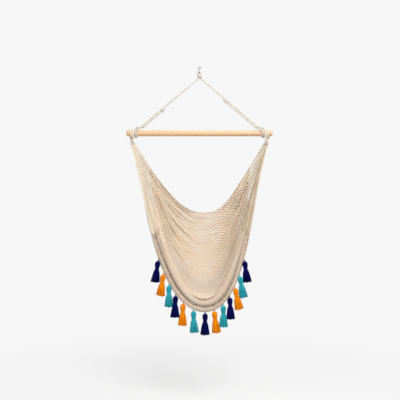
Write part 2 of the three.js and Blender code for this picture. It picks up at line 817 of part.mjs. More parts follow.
// Tassel in its place: its knot against the front edge rope, its head clear of the rope
function addTassel(index) {
  const { point, tangent } = frontEdgePlace(tasselPlaceShares[index]);
  const outward = new THREE.Vector3(tangent.z, 0, -tangent.x).normalize();
  const underShare = 0.8;
  const frontShare = 0.6;
  const knotReach = edgeRadius + seatGap + tasselKnotDiameter / 2;
  const knot = point.clone().addScaledVector(outward, underShare * knotReach);
  knot.addScaledVector(forwards, frontShare * knotReach);
  const headMiddle = tasselHeadDrop + headHeight * 0.45;
  const aside = underShare * knotReach - headMiddle * outward.z;
  const clear = headDiameter / 2 + edgeRadius + netThickness / 2 + 2 * turnGap;
  const ahead = Math.sqrt(Math.max(clear ** 2 - aside ** 2, 0));
  const forward = Math.max(ahead - frontShare * knotReach, 0);
  const colour = tasselColours[index % tasselColours.length];
  const number = String(index + 1).padStart(2, '0');
  const holder = new THREE.Group();
  holder.position.copy(knot);
  holder.rotation.y = THREE.MathUtils.degToRad(-tasselLeans[index]);
  const yarn = add(`tassel_${number}`, tasselGeometry(forward), materials[colour]);
  const tie = add(`tassel_${number}_tie`, tieGeometry(forward), materials[colour]);
  holder.add(yarn, tie);
  chair.add(holder);
  const place = knot.toArray().map((value) => value.toFixed(2)).join(', ');
  console.log(`tassel ${number} knot ${place}, stepped forward ${forward.toFixed(1)}`);
}

add('hanging_hook', hookGeometry(), materials.steel);
add('hanging_loop', loopGeometry(), materials.rope);
add('loop_tail', loopTailGeometry(), materials.rope);
add('apex_whipping', whippingGeometry(), materials.cord);
addLeg('left_rope', -1, leftTailLength);
addLeg('right_rope', 1, rightTailLength);
add('spreader_bar', barGeometry(), materials.wood);
for (const [word, side] of [['left', -1], ['right', 1]]) {
  const eye = eyePoints(side);
  printLeastGap(`${word} sling eye`, eye.points, eyeCord, eye.steps);
  add(`${word}_sling_eye`, tubeThrough(eye.points, eyeCord / 2, 6), materials.cord);
  add(`${word}_neck_binding`, bindingGeometry(side, `${word} neck binding`), materials.cord);
  for (let bundle = 0; bundle < bundlesPerSide; bundle += 1) {
    add(`${word}_end_cords_${bundle + 1}`, bundleGeometry(side, bundle), materials.cord);
  }
}
add('seat_net', netGeometry(), materials.net);
add('back_edge_rope', edgeRopeGeometry(0), materials.cord);
add('front_edge_rope', edgeRopeGeometry(1), materials.cord);
for (let index = 0; index < tasselPlaceShares.length; index += 1) {
  addTassel(index);
}

export default chair;
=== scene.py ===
"""Hammock chair: a cream net sling gathered to a round wooden bar, hung by rope from a steel hook.

Lengths are in metres. +Z is up, the front faces -Y, and the origin is the hang point.
"""

import logging
import math
from dataclasses import dataclass, field
from enum import Enum
from functools import cache

import bpy
import numpy as np
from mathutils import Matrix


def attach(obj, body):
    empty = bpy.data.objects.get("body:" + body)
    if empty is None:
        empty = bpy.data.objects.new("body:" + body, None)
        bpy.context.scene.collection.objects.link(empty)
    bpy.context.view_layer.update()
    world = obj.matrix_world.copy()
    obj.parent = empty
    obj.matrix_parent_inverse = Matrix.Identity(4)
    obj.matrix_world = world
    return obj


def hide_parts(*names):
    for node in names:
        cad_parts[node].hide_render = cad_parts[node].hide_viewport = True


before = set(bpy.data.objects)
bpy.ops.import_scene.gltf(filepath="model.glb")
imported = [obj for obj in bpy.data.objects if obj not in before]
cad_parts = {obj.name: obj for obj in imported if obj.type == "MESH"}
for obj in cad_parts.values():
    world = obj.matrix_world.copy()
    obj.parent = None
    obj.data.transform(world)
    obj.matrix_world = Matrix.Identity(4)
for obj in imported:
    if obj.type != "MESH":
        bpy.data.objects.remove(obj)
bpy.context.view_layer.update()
LOG = logging.getLogger("hammock_chair")

UP = np.array([0.0, 0.0, 1.0])
ACROSS = np.array([1.0, 0.0, 0.0])
BACKWARDS = np.array([0.0, 1.0, 0.0])
SEAT_GAP = 0.0003
TURN_GAP = 0.0005
RUN_MAP = "Run"
TONE = "Tone"
# Mark of painted shade, darkest in creases, hollows and among crowded yarns.
PAINTED_SHADE = "Crease"


class Side(Enum):
    """The two ends of the bar."""

    LEFT = -1
    RIGHT = 1

    @property
    def word(self) -> str:
        """The side's name as the solids use it."""
        return self.name.lower()


# Curves and tubes


def unit(vectors: np.ndarray) -> np.ndarray:
    """Vectors of length one along the given ones."""
    return vectors / np.maximum(np.linalg.norm(vectors, axis=-1, keepdims=True), 1e-12)


def smoothstep(share: np.ndarray | float) -> np.ndarray:
    """Eases from 0 to 1 as share goes from 0 to 1."""
    held = np.clip(share, 0.0, 1.0)
    return held * held * (3.0 - 2.0 * held)


def lengths_along(path: np.ndarray) -> np.ndarray:
    """Length run from the start of a path to each of its points."""
    steps = np.linalg.norm(np.diff(path, axis=0), axis=1)
    return np.concatenate([[0.0], np.cumsum(steps)])


def stepped(path: np.ndarray, step: float) -> np.ndarray:
    """Points at even steps along a path.

    Args:
        path: Points of the path.
        step: Distance between the new points, which is rounded to fit.

    Returns:
        The new points, with the same first and last ones.
    """
    run = lengths_along(path)
    count = max(int(round(run[-1] / step)), 1)
    places = np.linspace(0.0, run[-1], count + 1)
    return np.stack([np.interp(places, run, path[:, axis]) for axis in range(3)], axis=1)


def curve_through(points: list, divisions: int) -> np.ndarray:
    """Smooth curve through every given point, with no loops at sharp corners.

    Args:
        points: Points that the curve passes through.
        divisions: Number of pieces that the curve is cut into.

    Returns:
        The curve's points.
    """
    given = np.asarray(points, float)
    first = 2.0 * given[0] - given[1]
    last = 2.0 * given[-1] - given[-2]
    held = np.vstack([first, given, last])
    out = []
    for place in np.linspace(0.0, len(given) - 1, divisions + 1):
        index = min(int(place), len(given) - 2)
        share = place - index
        p0, p1, p2, p3 = held[index:index + 4]
        pairs = ((p0, p1), (p1, p2), (p2, p3))
        d0, d1, d2 = (max(np.linalg.norm(end - start) ** 0.5, 1e-6) for start, end in pairs)
        lead = ((p1 - p0) / d0 - (p2 - p0) / (d0 + d1) + (p2 - p1) / d1) * d1
        trail = ((p2 - p1) / d1 - (p3 - p1) / (d1 + d2) + (p3 - p2) / d2) * d1
        out.append(
            p1 + lead * share
            + (3.0 * (p2 - p1) - 2.0 * lead - trail) * share ** 2
            + (2.0 * (p1 - p2) + lead + trail) * share ** 3
        )
    return np.array(out)


def carried_sides(path: np.ndarray) -> np.ndarray:
    """One direction square to the path at each point, carried along with no twist."""
    ahead = unit(np.gradient(path, axis=0))
    side = np.cross(ahead[0], UP)
    if np.linalg.norm(side) < 0.1:
        side = np.cross(ahead[0], ACROSS)
    out = np.empty_like(path)
    for index, direction in enumerate(ahead):
        side = side - direction * float(side @ direction)
        side = side / np.linalg.norm(side)
        out[index] = side
    return out


@dataclass
class Tube:
    """Round tube along a path, such as one yarn of a rope."""

    path: np.ndarray
    radius: float | np.ndarray
    sides: int = 6
    tone: float | np.ndarray = 0.5
    across: np.ndarray | None = None
    # Painted shade, from 0 to 1, toward the finish's shade colour.
    crease: float | np.ndarray = 0.0
    flatness: float | np.ndarray = 1.0

    def rings(self) -> np.ndarray:
        """Corners of the tube, ring after ring."""
        ahead = unit(np.gradient(self.path, axis=0))
        side = carried_sides(self.path) if self.across is None else self.across
        side = unit(side - ahead * np.sum(side * ahead, axis=1, keepdims=True))
        other = np.cross(ahead, side)
        angle = np.arange(self.sides) * (2.0 * math.pi / self.sides)
        radius = np.broadcast_to(np.asarray(self.radius, float), len(self.path))
        flatness = np.broadcast_to(np.asarray(self.flatness, float), len(self.path))
        side = side * flatness[:, None]
        across, upward = np.cos(angle)[None, :, None], np.sin(angle)[None, :, None]
        spoke = across * side[:, None] + upward * other[:, None]
        return (self.path[:, None] + spoke * radius[:, None, None]).reshape(-1, 3)


def tubes_object(name: str, tubes: list[Tube], material: bpy.types.Material) -> bpy.types.Object:
    """One mesh object made of closed tubes, with a map of the run along each, and a tone and a painted shade
    for each.

    Args:
        name: Name of the object.
        tubes: Tubes that make it up.
        material: Finish of all of them.

    Returns:
        The new object, linked to the scene.
    """
    corners, loops, starts, sizes, runs = [], [], [], [], []
    marks: dict[str, list[np.ndarray]] = {TONE: [], PAINTED_SHADE: []}
    base = loop_base = 0
    for tube in tubes:
        count, sides = len(tube.path), tube.sides
        run = lengths_along(tube.path)
        corners.append(tube.rings())
        ring, corner = np.meshgrid(np.arange(count - 1), np.arange(sides), indexing="ij")
        ring, corner = ring.ravel(), corner.ravel()
        after = (corner + 1) % sides
        here, beyond = ring * sides, (ring + 1) * sides
        quads = np.stack([here + corner, here + after, beyond + after, beyond + corner], axis=1)
        turn = corner / sides
        turned = (corner + 1) / sides
        quad_runs = np.stack([
            np.stack([turn, run[ring]], 1), np.stack([turned, run[ring]], 1),
            np.stack([turned, run[ring + 1]], 1), np.stack([turn, run[ring + 1]], 1),
        ], axis=1)
        caps = np.concatenate([np.arange(sides)[::-1], (count - 1) * sides + np.arange(sides)])
        cap_runs = np.stack([np.full(2 * sides, 0.5), np.repeat([run[0], run[-1]], sides)], axis=1)
        loops.append(np.concatenate([quads.ravel(), caps]) + base)
        runs.append(np.concatenate([quad_runs.reshape(-1, 2), cap_runs]))
        faces = len(quads)
        size = np.concatenate([np.full(faces, 4), [sides, sides]])
        starts.append(loop_base + np.concatenate([[0], np.cumsum(size)[:-1]]))
        sizes.append(size)
        for key, mark in ((TONE, tube.tone), (PAINTED_SHADE, tube.crease)):
            marks[key].append(np.repeat(np.broadcast_to(np.asarray(mark, float), count), sides))
        base += count * sides
        loop_base += int(size.sum())
    vertices = np.concatenate(corners)
    loop = np.concatenate(loops)
    size = np.concatenate(sizes)
    mesh = bpy.data.meshes.new(name)
    mesh.vertices.add(len(vertices))
    mesh.vertices.foreach_set("co", vertices.astype(np.float32).ravel())
    mesh.loops.add(len(loop))
    mesh.loops.foreach_set("vertex_index", loop.astype(np.int32))
    mesh.polygons.add(len(size))
    mesh.polygons.foreach_set("loop_start", np.concatenate(starts).astype(np.int32))
    mesh.polygons.foreach_set("loop_total", size.astype(np.int32))
    mesh.polygons.foreach_set("use_smooth", size == 4)
    layer = mesh.uv_layers.new(name=RUN_MAP)
    layer.data.foreach_set("uv", np.concatenate(runs).astype(np.float32).ravel())
    for key, mark in marks.items():
        values = np.concatenate(mark).astype(np.float32)
        mesh.attributes.new(key, "FLOAT", "POINT").data.foreach_set("value", values)
    mesh.update(calc_edges=True)
    mesh.validate()
    mesh.materials.append(material)
    piece = bpy.data.objects.new(name, mesh)
    bpy.context.scene.collection.objects.link(piece)
    return piece


def coils(path: np.ndarray, radius: float, pitch: float, count: int = 1) -> list[np.ndarray]:
    """Strands that wind round a path at even distances from each other.

    Args:
        path: Points that they wind round.
        radius: Distance of each strand's middle from the path.
        pitch: Length that a strand takes to go once round.
        count: Number of strands.

    Returns:
        The points of each strand.
    """
    side = carried_sides(path)
    other = np.cross(unit(np.gradient(path, axis=0)), side)
    run = lengths_along(path)
    strands = []
    for strand in range(count):
        turn = 2.0 * math.pi * (run / pitch + strand / count)
        offset = np.cos(turn)[:, None] * side + np.sin(turn)[:, None] * other
        strands.append(path + offset * radius)
    return strands


def laid(
    path: np.ndarray, radius: float, plies: int, pitch: float, sides: int = 6, tone: float = 0.5,
) -> list[Tube]:
    """Yarns of a laid rope along a path.

    Args:
        path: Middle of the rope.
        radius: Radius of the whole rope.
        plies: Number of yarns.
        pitch: Length that one yarn takes to go once round.
        sides: Corners round each yarn.
        tone: Tone of the yarns.

    Returns:
        One tube for each yarn.
    """
    points_in_pitch = 7.0
    yarn_share = 0.6 if plies < 4 else 0.55
    yarn = radius * yarn_share
    strands = coils(stepped(path, pitch / points_in_pitch), radius - yarn, pitch, plies)
    return [Tube(strand, yarn, sides, tone) for strand in strands]


@dataclass(frozen=True)
class Fray:
    """Loose yarns at a rope's cut end, with sizes as shares of the rope's diameter."""

    count: int = 26
    root: float = 0.2
    spread: float = 0.13
    splay: float = 0.22
    steps: tuple[float, ...] = (0.0, 0.3, 0.55)
    yarn: float = 0.05

    def yarns(self, path: np.ndarray, rope: float, seed: int) -> list[Tube]:
        """Makes the yarns.

        Args:
            path: Middle of the rope, which ends at the cut.
            rope: Diameter of the rope.
            seed: Seed of their spread.

        Returns:
            One tube for each loose yarn.
        """
        chance = np.random.default_rng(seed)
        tip, ahead = path[-1], unit(path[-1] - path[-2])
        yarns = []
        for _ in range(self.count):
            start = tip - ahead * rope * self.root + chance.normal(0.0, rope * self.spread, 3)
            out = ahead + chance.normal(0.0, self.splay, 3)
            points = [start + out * rope * share for share in self.steps]
            yarns.append(Tube(np.array(points), rope * self.yarn, 4, float(chance.random())))
        return yarns


def winding(
    centre: np.ndarray,
    axis: np.ndarray,
    start: np.ndarray,
    side: np.ndarray,
    radius: float,
    pitch: float,
    turns: float,
    steps: int = 24,
    half_straight: float = 0.0,
) -> np.ndarray:
    """Points of a cord wound round a round core, or an oval one.

    Args:
        centre: Middle of the winding.
        axis: Direction that the turns step along.
        start: Direction from the axis to the first point.
        side: Direction that the cord first goes in.
        radius: Radius of the cord's middle round the core.
        pitch: Step from turn to turn.
        turns: Number of turns.
        steps: Points in a turn.
        half_straight: Half the straight length of an oval core.

    Returns:
        The points.
    """
    sharpness = 4.0
    oval_slack = 0.94
    slack = oval_slack if half_straight > 0.0 else math.cos(math.pi / steps)
    place = np.arange(int(round(turns * steps)) + 1) / steps
    angle = 2.0 * math.pi * place
    shift = np.clip(np.cos(angle) * sharpness, -1.0, 1.0) * half_straight
    return (
        np.asarray(centre)[None]
        + np.outer(pitch * (place - turns / 2.0), axis)
        + np.outer(radius / slack * np.cos(angle) + shift, start)
        + np.outer(radius / slack * np.sin(angle), side)
    )


# Materials

Colour = tuple[float, float, float]
Socket = bpy.types.NodeSocket


def linear(colour: Colour) -> tuple[float, float, float, float]:
    """Blender's colour for one given as screen values from 0 to 255."""
    shares = [value / 255.0 for value in colour]
    return (*[s / 12.92 if s <= 0.04045 else ((s + 0.055) / 1.055) ** 2.4 for s in shares], 1.0)


class NodeSheet:
    """Adds nodes to one tree and links them as they come."""

    def __init__(self, tree: bpy.types.NodeTree) -> None:
        """Keeps the tree that the nodes go into."""
        self.tree = tree

    def put(self, socket: Socket, value: object) -> None:
        """Links a socket to another socket, or sets its value."""
        if isinstance(value, Socket):
            self.tree.links.new(value, socket)
        else:
            socket.default_value = value

    def node(self, kind: str, inputs: dict | None = None, **settings: object) -> bpy.types.Node:
        """Adds a node.

        Args:
            kind: Type name of the node.
            inputs: Value or source socket for each input, by name or number.
            settings: Properties of the node.

        Returns:
            The node.
        """
        made = self.tree.nodes.new(kind)
        for key, value in settings.items():
            setattr(made, key, value)
        for key, value in (inputs or {}).items():
            self.put(made.inputs[key], value)
        return made

    def math(self, operation: str, *values: object) -> Socket:
        """Result of a Math node on one to three values or sockets."""
        return self.node("ShaderNodeMath", dict(enumerate(values)), operation=operation).outputs[0]

    def weighted(self, first: object, weight: object, second: object, other_weight: object) -> Socket:
        """Sum of two values, each times its own weight."""
        return self.math(
            "ADD", self.math("MULTIPLY", first, weight), self.math("MULTIPLY", second, other_weight)
        )

    def blend(self, share: object, low: object, high: object) -> Socket:
        """Colour between low and high at a share."""
        made = self.node("ShaderNodeMix", data_type="RGBA")
        for index, value in ((0, share), (6, low), (7, high)):
            self.put(made.inputs[index], value)
        return made.outputs[2]

    def spread(
        self, value: object, low: float, high: float, to_low: float = 0.0, to_high: float = 1.0,
    ) -> Socket:
        """Value between low and high, spread to the new range and held in it."""
        names = {"Value": value, "From Min": low, "From Max": high, "To Min": to_low, "To Max": to_high}
        return self.node("ShaderNodeMapRange", names).outputs[0]

    def place(self, scale: tuple[float, float, float] | None = None) -> Socket:
        """Place on the object, stretched along each axis where a scale is given."""
        place = self.node("ShaderNodeTexCoord").outputs["Object"]
        if scale is None:
            return place
        return self.node("ShaderNodeMapping", {"Vector": place, "Scale": scale}).outputs[0]

    def noise(self, place: Socket, scale: object, detail: float, distortion: float = 0.0) -> Socket:
        """Noise at each place, from 0 to 1."""
        names = {"Vector": place, "Scale": scale, "Detail": detail, "Distortion": distortion}
        return self.node("ShaderNodeTexNoise", names).outputs[0]

    def parts(self, vector: Socket) -> bpy.types.NodeOutputs:
        """The three numbers of a vector."""
        return self.node("ShaderNodeSeparateXYZ", {0: vector}).outputs

    def mark(self, name: str) -> Socket:
        """Number that each point of a mesh carries under a name."""
        return self.node("ShaderNodeAttribute", attribute_name=name).outputs["Fac"]

    def shared(self, tree: bpy.types.NodeTree, inputs: dict | None = None) -> bpy.types.NodeOutputs:
        """Outputs of a shared effect."""
        return self.node("ShaderNodeGroup", inputs, node_tree=tree).outputs


class EffectSheet(NodeSheet):
    """Sheet of a shader node group that takes and gives numbers."""

    def __init__(self, name: str, inputs: dict[str, float], outputs: tuple[str, ...]) -> None:
        """Makes the group.

        Args:
            name: Name of the group.
            inputs: Default value of each input.
            outputs: Names of the outputs.
        """
        super().__init__(bpy.data.node_groups.new(name, "ShaderNodeTree"))
        sockets = self.tree.interface
        for key, value in inputs.items():
            sockets.new_socket(key, in_out="INPUT", socket_type="NodeSocketFloat").default_value = value
        for key in outputs:
            sockets.new_socket(key, in_out="OUTPUT", socket_type="NodeSocketFloat")
        self.given = self.node("NodeGroupInput").outputs
        self.end = self.node("NodeGroupOutput")

    def give(self, **results: Socket) -> bpy.types.NodeTree:
        """Links each result to the output of its name and returns the group."""
        for key, value in results.items():
            self.put(self.end.inputs[key], value)
        return self.tree


class Effects:
    """Shader effects that several finishes share, each built once."""

    @staticmethod
    @cache
    def yarn_lay() -> bpy.types.NodeTree:
        """Ridges of twisted yarns that wind round a tube, from the map of its run, and painted shade in the
        grooves between them.
        """
        sheet = EffectSheet("yarn_lay", {"Plies": 3.0, "Pitch": 0.02}, ("Height", "Groove"))
        run = sheet.parts(sheet.node("ShaderNodeUVMap", uv_map=RUN_MAP).outputs[0])
        round_it = sheet.math("MULTIPLY", run[0], sheet.given["Plies"])
        along = sheet.math("DIVIDE", run[1], sheet.given["Pitch"])
        wave = sheet.math("SINE", sheet.math("MULTIPLY", sheet.math("ADD", round_it, along), math.pi))
        height = sheet.math("POWER", sheet.math("ABSOLUTE", wave), 0.6)
        # Groove is painted shade, darkest where the ridges are lowest.
        return sheet.give(Height=height, Groove=sheet.spread(height, 0.75, 0.1))

    @staticmethod
    @cache
    def fibre() -> bpy.types.NodeTree:
        """Uneven shade of spun cotton in patches, and its fine loose fibres."""
        sheet = EffectSheet("fibre", {"Patch Scale": 9.0, "Fibre Scale": 900.0}, ("Patch", "Fibre"))
        place = sheet.place()
        patch = sheet.noise(place, sheet.given["Patch Scale"], 3.0)
        fine = sheet.noise(place, sheet.given["Fibre Scale"], 2.0)
        return sheet.give(Patch=sheet.spread(patch, 0.3, 0.7), Fibre=sheet.spread(fine, 0.3, 0.7))

    @staticmethod
    @cache
    def wear() -> bpy.types.NodeTree:
        """Rubbed patches and small marks on hard surfaces."""
        sheet = EffectSheet("wear", {"Scale": 60.0, "Amount": 0.5}, ("Mask", "Scratch"))
        place, scale = sheet.place(), sheet.given["Scale"]
        patch = sheet.noise(place, scale, 5.0)
        line = sheet.noise(place, sheet.math("MULTIPLY", scale, 9.0), 2.0, 1.5)
        mask = sheet.math("MULTIPLY", sheet.spread(patch, 0.48, 0.66), sheet.given["Amount"])
        return sheet.give(Mask=mask, Scratch=sheet.spread(line, 0.35, 0.65))

    @staticmethod
    @cache
    def grain() -> bpy.types.NodeTree:
        """Growth rings and pores of a dowel that runs along X."""
        pith_y, pith_z, waver = 0.022, 0.4, 0.012
        sheet = EffectSheet("grain", {"Ring Spacing": 0.003}, ("Ring", "Pore", "Figure"))
        slow = sheet.place((3.5, 26.0, 26.0))
        bend = sheet.noise(slow, 1.0, 2.0)
        place = sheet.parts(sheet.place())
        off_y = sheet.math("ADD", place[1], pith_y)
        off_z = sheet.math("ADD", place[2], pith_z)
        far = sheet.math("SQRT", sheet.weighted(off_y, off_y, off_z, off_z))
        bent = sheet.math("ADD", far, sheet.math("MULTIPLY", bend, waver))
        turns = sheet.math("FRACT", sheet.math("DIVIDE", bent, sheet.given["Ring Spacing"]))
        pore = sheet.noise(sheet.place((22.0, 900.0, 900.0)), 1.0, 2.0)
        figure = sheet.noise(slow, 2.3, 1.0)
        return sheet.give(
            Ring=sheet.math("POWER", turns, 2.2),
            Pore=sheet.spread(pore, 0.52, 0.72),
            Figure=sheet.spread(figure, 0.3, 0.7),
        )


def new_material(name: str) -> tuple[bpy.types.Material, NodeSheet, bpy.types.Node]:
    """New node material with its sheet and its surface node."""
    made = bpy.data.materials.new(name)
    made.use_nodes = True
    return made, NodeSheet(made.node_tree), made.node_tree.nodes["Principled BSDF"]


@dataclass(frozen=True)
class Finish:
    """Look of one material, between a light and a dark colour."""

    name: str
    light: Colour
    dark: Colour

    def material(self) -> bpy.types.Material:
        """Builds the material once and returns it."""
        found = bpy.data.materials.get(self.name)
        if found:
            return found
        made, sheet, skin = new_material(self.name)
        surface, relief = self.look(sheet)
        bump = sheet.node("ShaderNodeBump", relief)
        for key, value in {**surface, "Normal": bump.outputs[0]}.items():
            sheet.put(skin.inputs[key], value)
        return made

    def look(self, sheet: NodeSheet) -> tuple[dict[str, object], dict[str, object]]:
        """Inputs of the surface, and of the bump that gives it relief."""
        raise NotImplementedError


@dataclass(frozen=True)
class YarnFinish(Finish):
    """Spun cotton yarn, cord or rope."""

    # Painted shade colour, that the twist's grooves and the painted shade mark darken the yarn toward.
    groove: Colour
    plies: float = 2.0
    pitch: float = 0.009
    patch_scale: float = 9.0
    roughness: float = 0.92
    sheen: float = 0.12
    gloss: float = 0.12
    bump: float = 0.0004
    # How strongly the painted shade in the twist's grooves darkens the colour.
    groove_shade_share: float = 0.35

    def look(self, sheet: NodeSheet) -> tuple[dict[str, object], dict[str, object]]:
        """Inputs of the surface, and of the bump that gives it relief."""
        lay = sheet.shared(Effects.yarn_lay(), {"Plies": self.plies, "Pitch": self.pitch})
        fibre = sheet.shared(Effects.fibre(), {"Patch Scale": self.patch_scale})
        shade = sheet.weighted(sheet.mark(TONE), 0.65, fibre["Patch"], 0.35)
        body = sheet.blend(shade, linear(self.dark), linear(self.light))
        # Painted shade: in the twist's grooves, and from the mark of painted shade on creases, hollows and
        # crowded yarns.
        groove_shade = sheet.math("MULTIPLY", lay["Groove"], self.groove_shade_share)
        share = sheet.math("MAXIMUM", groove_shade, sheet.mark(PAINTED_SHADE))
        fluff = sheet.math("ADD", lay["Height"], sheet.math("MULTIPLY", fibre["Fibre"], 0.35))
        return {
            "Base Color": sheet.blend(share, body, linear(self.groove)),
            "Roughness": sheet.spread(fibre["Fibre"], 0.0, 1.0, self.roughness - 0.08, self.roughness),
            "Specular IOR Level": self.gloss,
            "Sheen Weight": self.sheen,
            "Sheen Roughness": 0.6,
        }, {"Strength": 0.8, "Distance": self.bump, "Height": fluff}


@dataclass(frozen=True)
class WoodFinish(Finish):
    """Pale turned hardwood under a clear satin coat."""

    name: str = "bar_wood"
    light: Colour = (227, 188, 148)
    dark: Colour = (216, 173, 130)
    pore: Colour = (205, 158, 112)

    def look(self, sheet: NodeSheet) -> tuple[dict[str, object], dict[str, object]]:
        """Inputs of the surface, and of the bump that gives it relief."""
        grain = sheet.shared(Effects.grain())
        wear = sheet.shared(Effects.wear(), {"Scale": 24.0})
        shade = sheet.weighted(grain["Ring"], 0.6, grain["Figure"], 0.4)
        body = sheet.blend(shade, linear(self.light), linear(self.dark))
        pored = sheet.blend(sheet.math("MULTIPLY", grain["Pore"], 0.25), body, linear(self.pore))
        worn = sheet.math("MULTIPLY", wear["Mask"], 0.3)
        height = sheet.math("SUBTRACT", sheet.math("MULTIPLY", wear["Scratch"], 0.2), grain["Pore"])
        return {
            "Base Color": sheet.blend(worn, pored, linear(self.dark)),
            "Roughness": sheet.spread(wear["Mask"], 0.0, 1.0, 0.42, 0.6),
            "Coat Weight": 0.15,
            "Coat Roughness": 0.35,
        }, {"Strength": 0.2, "Distance": 0.0001, "Height": height}


@dataclass(frozen=True)
class SteelFinish(Finish):
    """Zinc-plated steel wire, dulled by handling."""

    name: str = "hook_steel"
    light: Colour = (158, 160, 163)
    dark: Colour = (98, 100, 104)

    def look(self, sheet: NodeSheet) -> tuple[dict[str, object], dict[str, object]]:
        """Inputs of the surface, and of the bump that gives it relief."""
        wear = sheet.shared(Effects.wear(), {"Scale": 180.0, "Amount": 1.0})
        return {
            "Base Color": sheet.blend(wear["Mask"], linear(self.light), linear(self.dark)),
            "Roughness": sheet.spread(wear["Mask"], 0.0, 1.0, 0.3, 0.55),
            "Metallic": 1.0,
        }, {"Strength": 0.3, "Distance": 0.0001, "Height": wear["Scratch"]}


# The third colour of each yarn finish is its painted shade colour.
ROPE = YarnFinish(
    "laid_rope", (222, 214, 202), (206, 196, 181), (174, 163, 146), 2.0, 0.012, 14.0, groove_shade_share=0.25,
)
CORD = YarnFinish("twisted_cord", (243, 233, 218), (226, 211, 190), (170, 148, 118))
FRONT_CORD = YarnFinish("front_cord", (240, 226, 206), (202, 182, 154), (148, 124, 92))
NET = YarnFinish(
    "spun_net", (250, 238, 223), (240, 216, 184), (136, 100, 58), 5.0, 0.06, 7.0, bump=0.0002, groove_shade_share=0.15,
)
TASSEL_YARN = {"plies": 2.0, "pitch": 0.006, "patch_scale": 40.0, "sheen": 0.0, "gloss": 0.05}
NAVY = YarnFinish("navy_cotton", (13, 16, 98), (5, 7, 60), (2, 2, 28), **TASSEL_YARN)
ORANGE = YarnFinish("orange_cotton", (255, 160, 18), (236, 124, 6), (172, 78, 2), **TASSEL_YARN)
TEAL = YarnFinish("teal_cotton", (62, 184, 198), (36, 150, 166), (16, 92, 108), **TASSEL_YARN)


def add_piece(
    name: str, tubes: list[Tube], finish: Finish, slot: str, body: str, *solids: str,
) -> bpy.types.Object:
    """Makes one piece, hides the solids that it replaces and puts it in its moving group.

    Args:
        name: Name of the piece.
        tubes: Tubes that make it up.
        finish: Finish of all of them.
        slot: Not used.
        body: Moving group that carries it.
        solids: Solids that it takes the place of, if any.

    Returns:
        The piece.
    """
    piece = tubes_object(name, tubes, finish.material())
    if solids:
        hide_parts(*solids)
    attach(piece, body)
    return piece


# Pieces above the sling


@dataclass
class HangingHook:
    """S-hook of round wire, its lower bend turned a quarter turn from its upper bend."""

    wire: float = 0.0055
    bore: float = 0.0085
    loop_drop: float = 0.034
    tip: float = 0.005
    stem_run: float = 0.007
    rope_radius: float = 0.005
    bend_points: int = 10
    end_round_share: float = 0.22

    def route(self) -> np.ndarray:
        """Middle of the wire from the tip of the upper bend to the tip of the lower one."""
        radius = self.wire / 2.0
        upper = self.bore / 2.0 + radius
        lower = self.rope_radius + SEAT_GAP + radius
        points = []
        for angle in np.linspace(-math.pi / 5.0, math.pi, self.bend_points):
            points.append((upper * math.cos(angle), 0.0, upper * math.sin(angle) - self.bore / 2.0))
        points.append((-upper, 0.0, -upper))
        points.append((0.0, lower, self.stem_run - self.loop_drop))
        for angle in np.linspace(0.0, math.pi, self.bend_points):
            points.append((0.0, lower * math.cos(angle), -self.loop_drop - lower * math.sin(angle)))
        points.append((0.0, -lower, self.tip - self.loop_drop))
        return stepped(curve_through(points, 240), 0.0007)

    def build(self) -> None:
        """Makes the hook in place of its solid, with its two cut ends rounded off."""
        path = self.route()
        radius = np.full(len(path), self.wire / 2.0)
        run = lengths_along(path)
        end_round = self.wire * self.end_round_share
        near = np.minimum(run, run[-1] - run)
        rounded = np.clip(1.0 - near / end_round, 0.0, 1.0)
        radius -= end_round * (1.0 - np.sqrt(1.0 - rounded ** 2))
        add_piece("hook", [Tube(path, radius, 20)], SteelFinish(), "steel", "hook", "hanging_hook")
        LOG.info("hook: wire %.1f mm, %.0f mm along", self.wire * 1000, run[-1] * 1000)


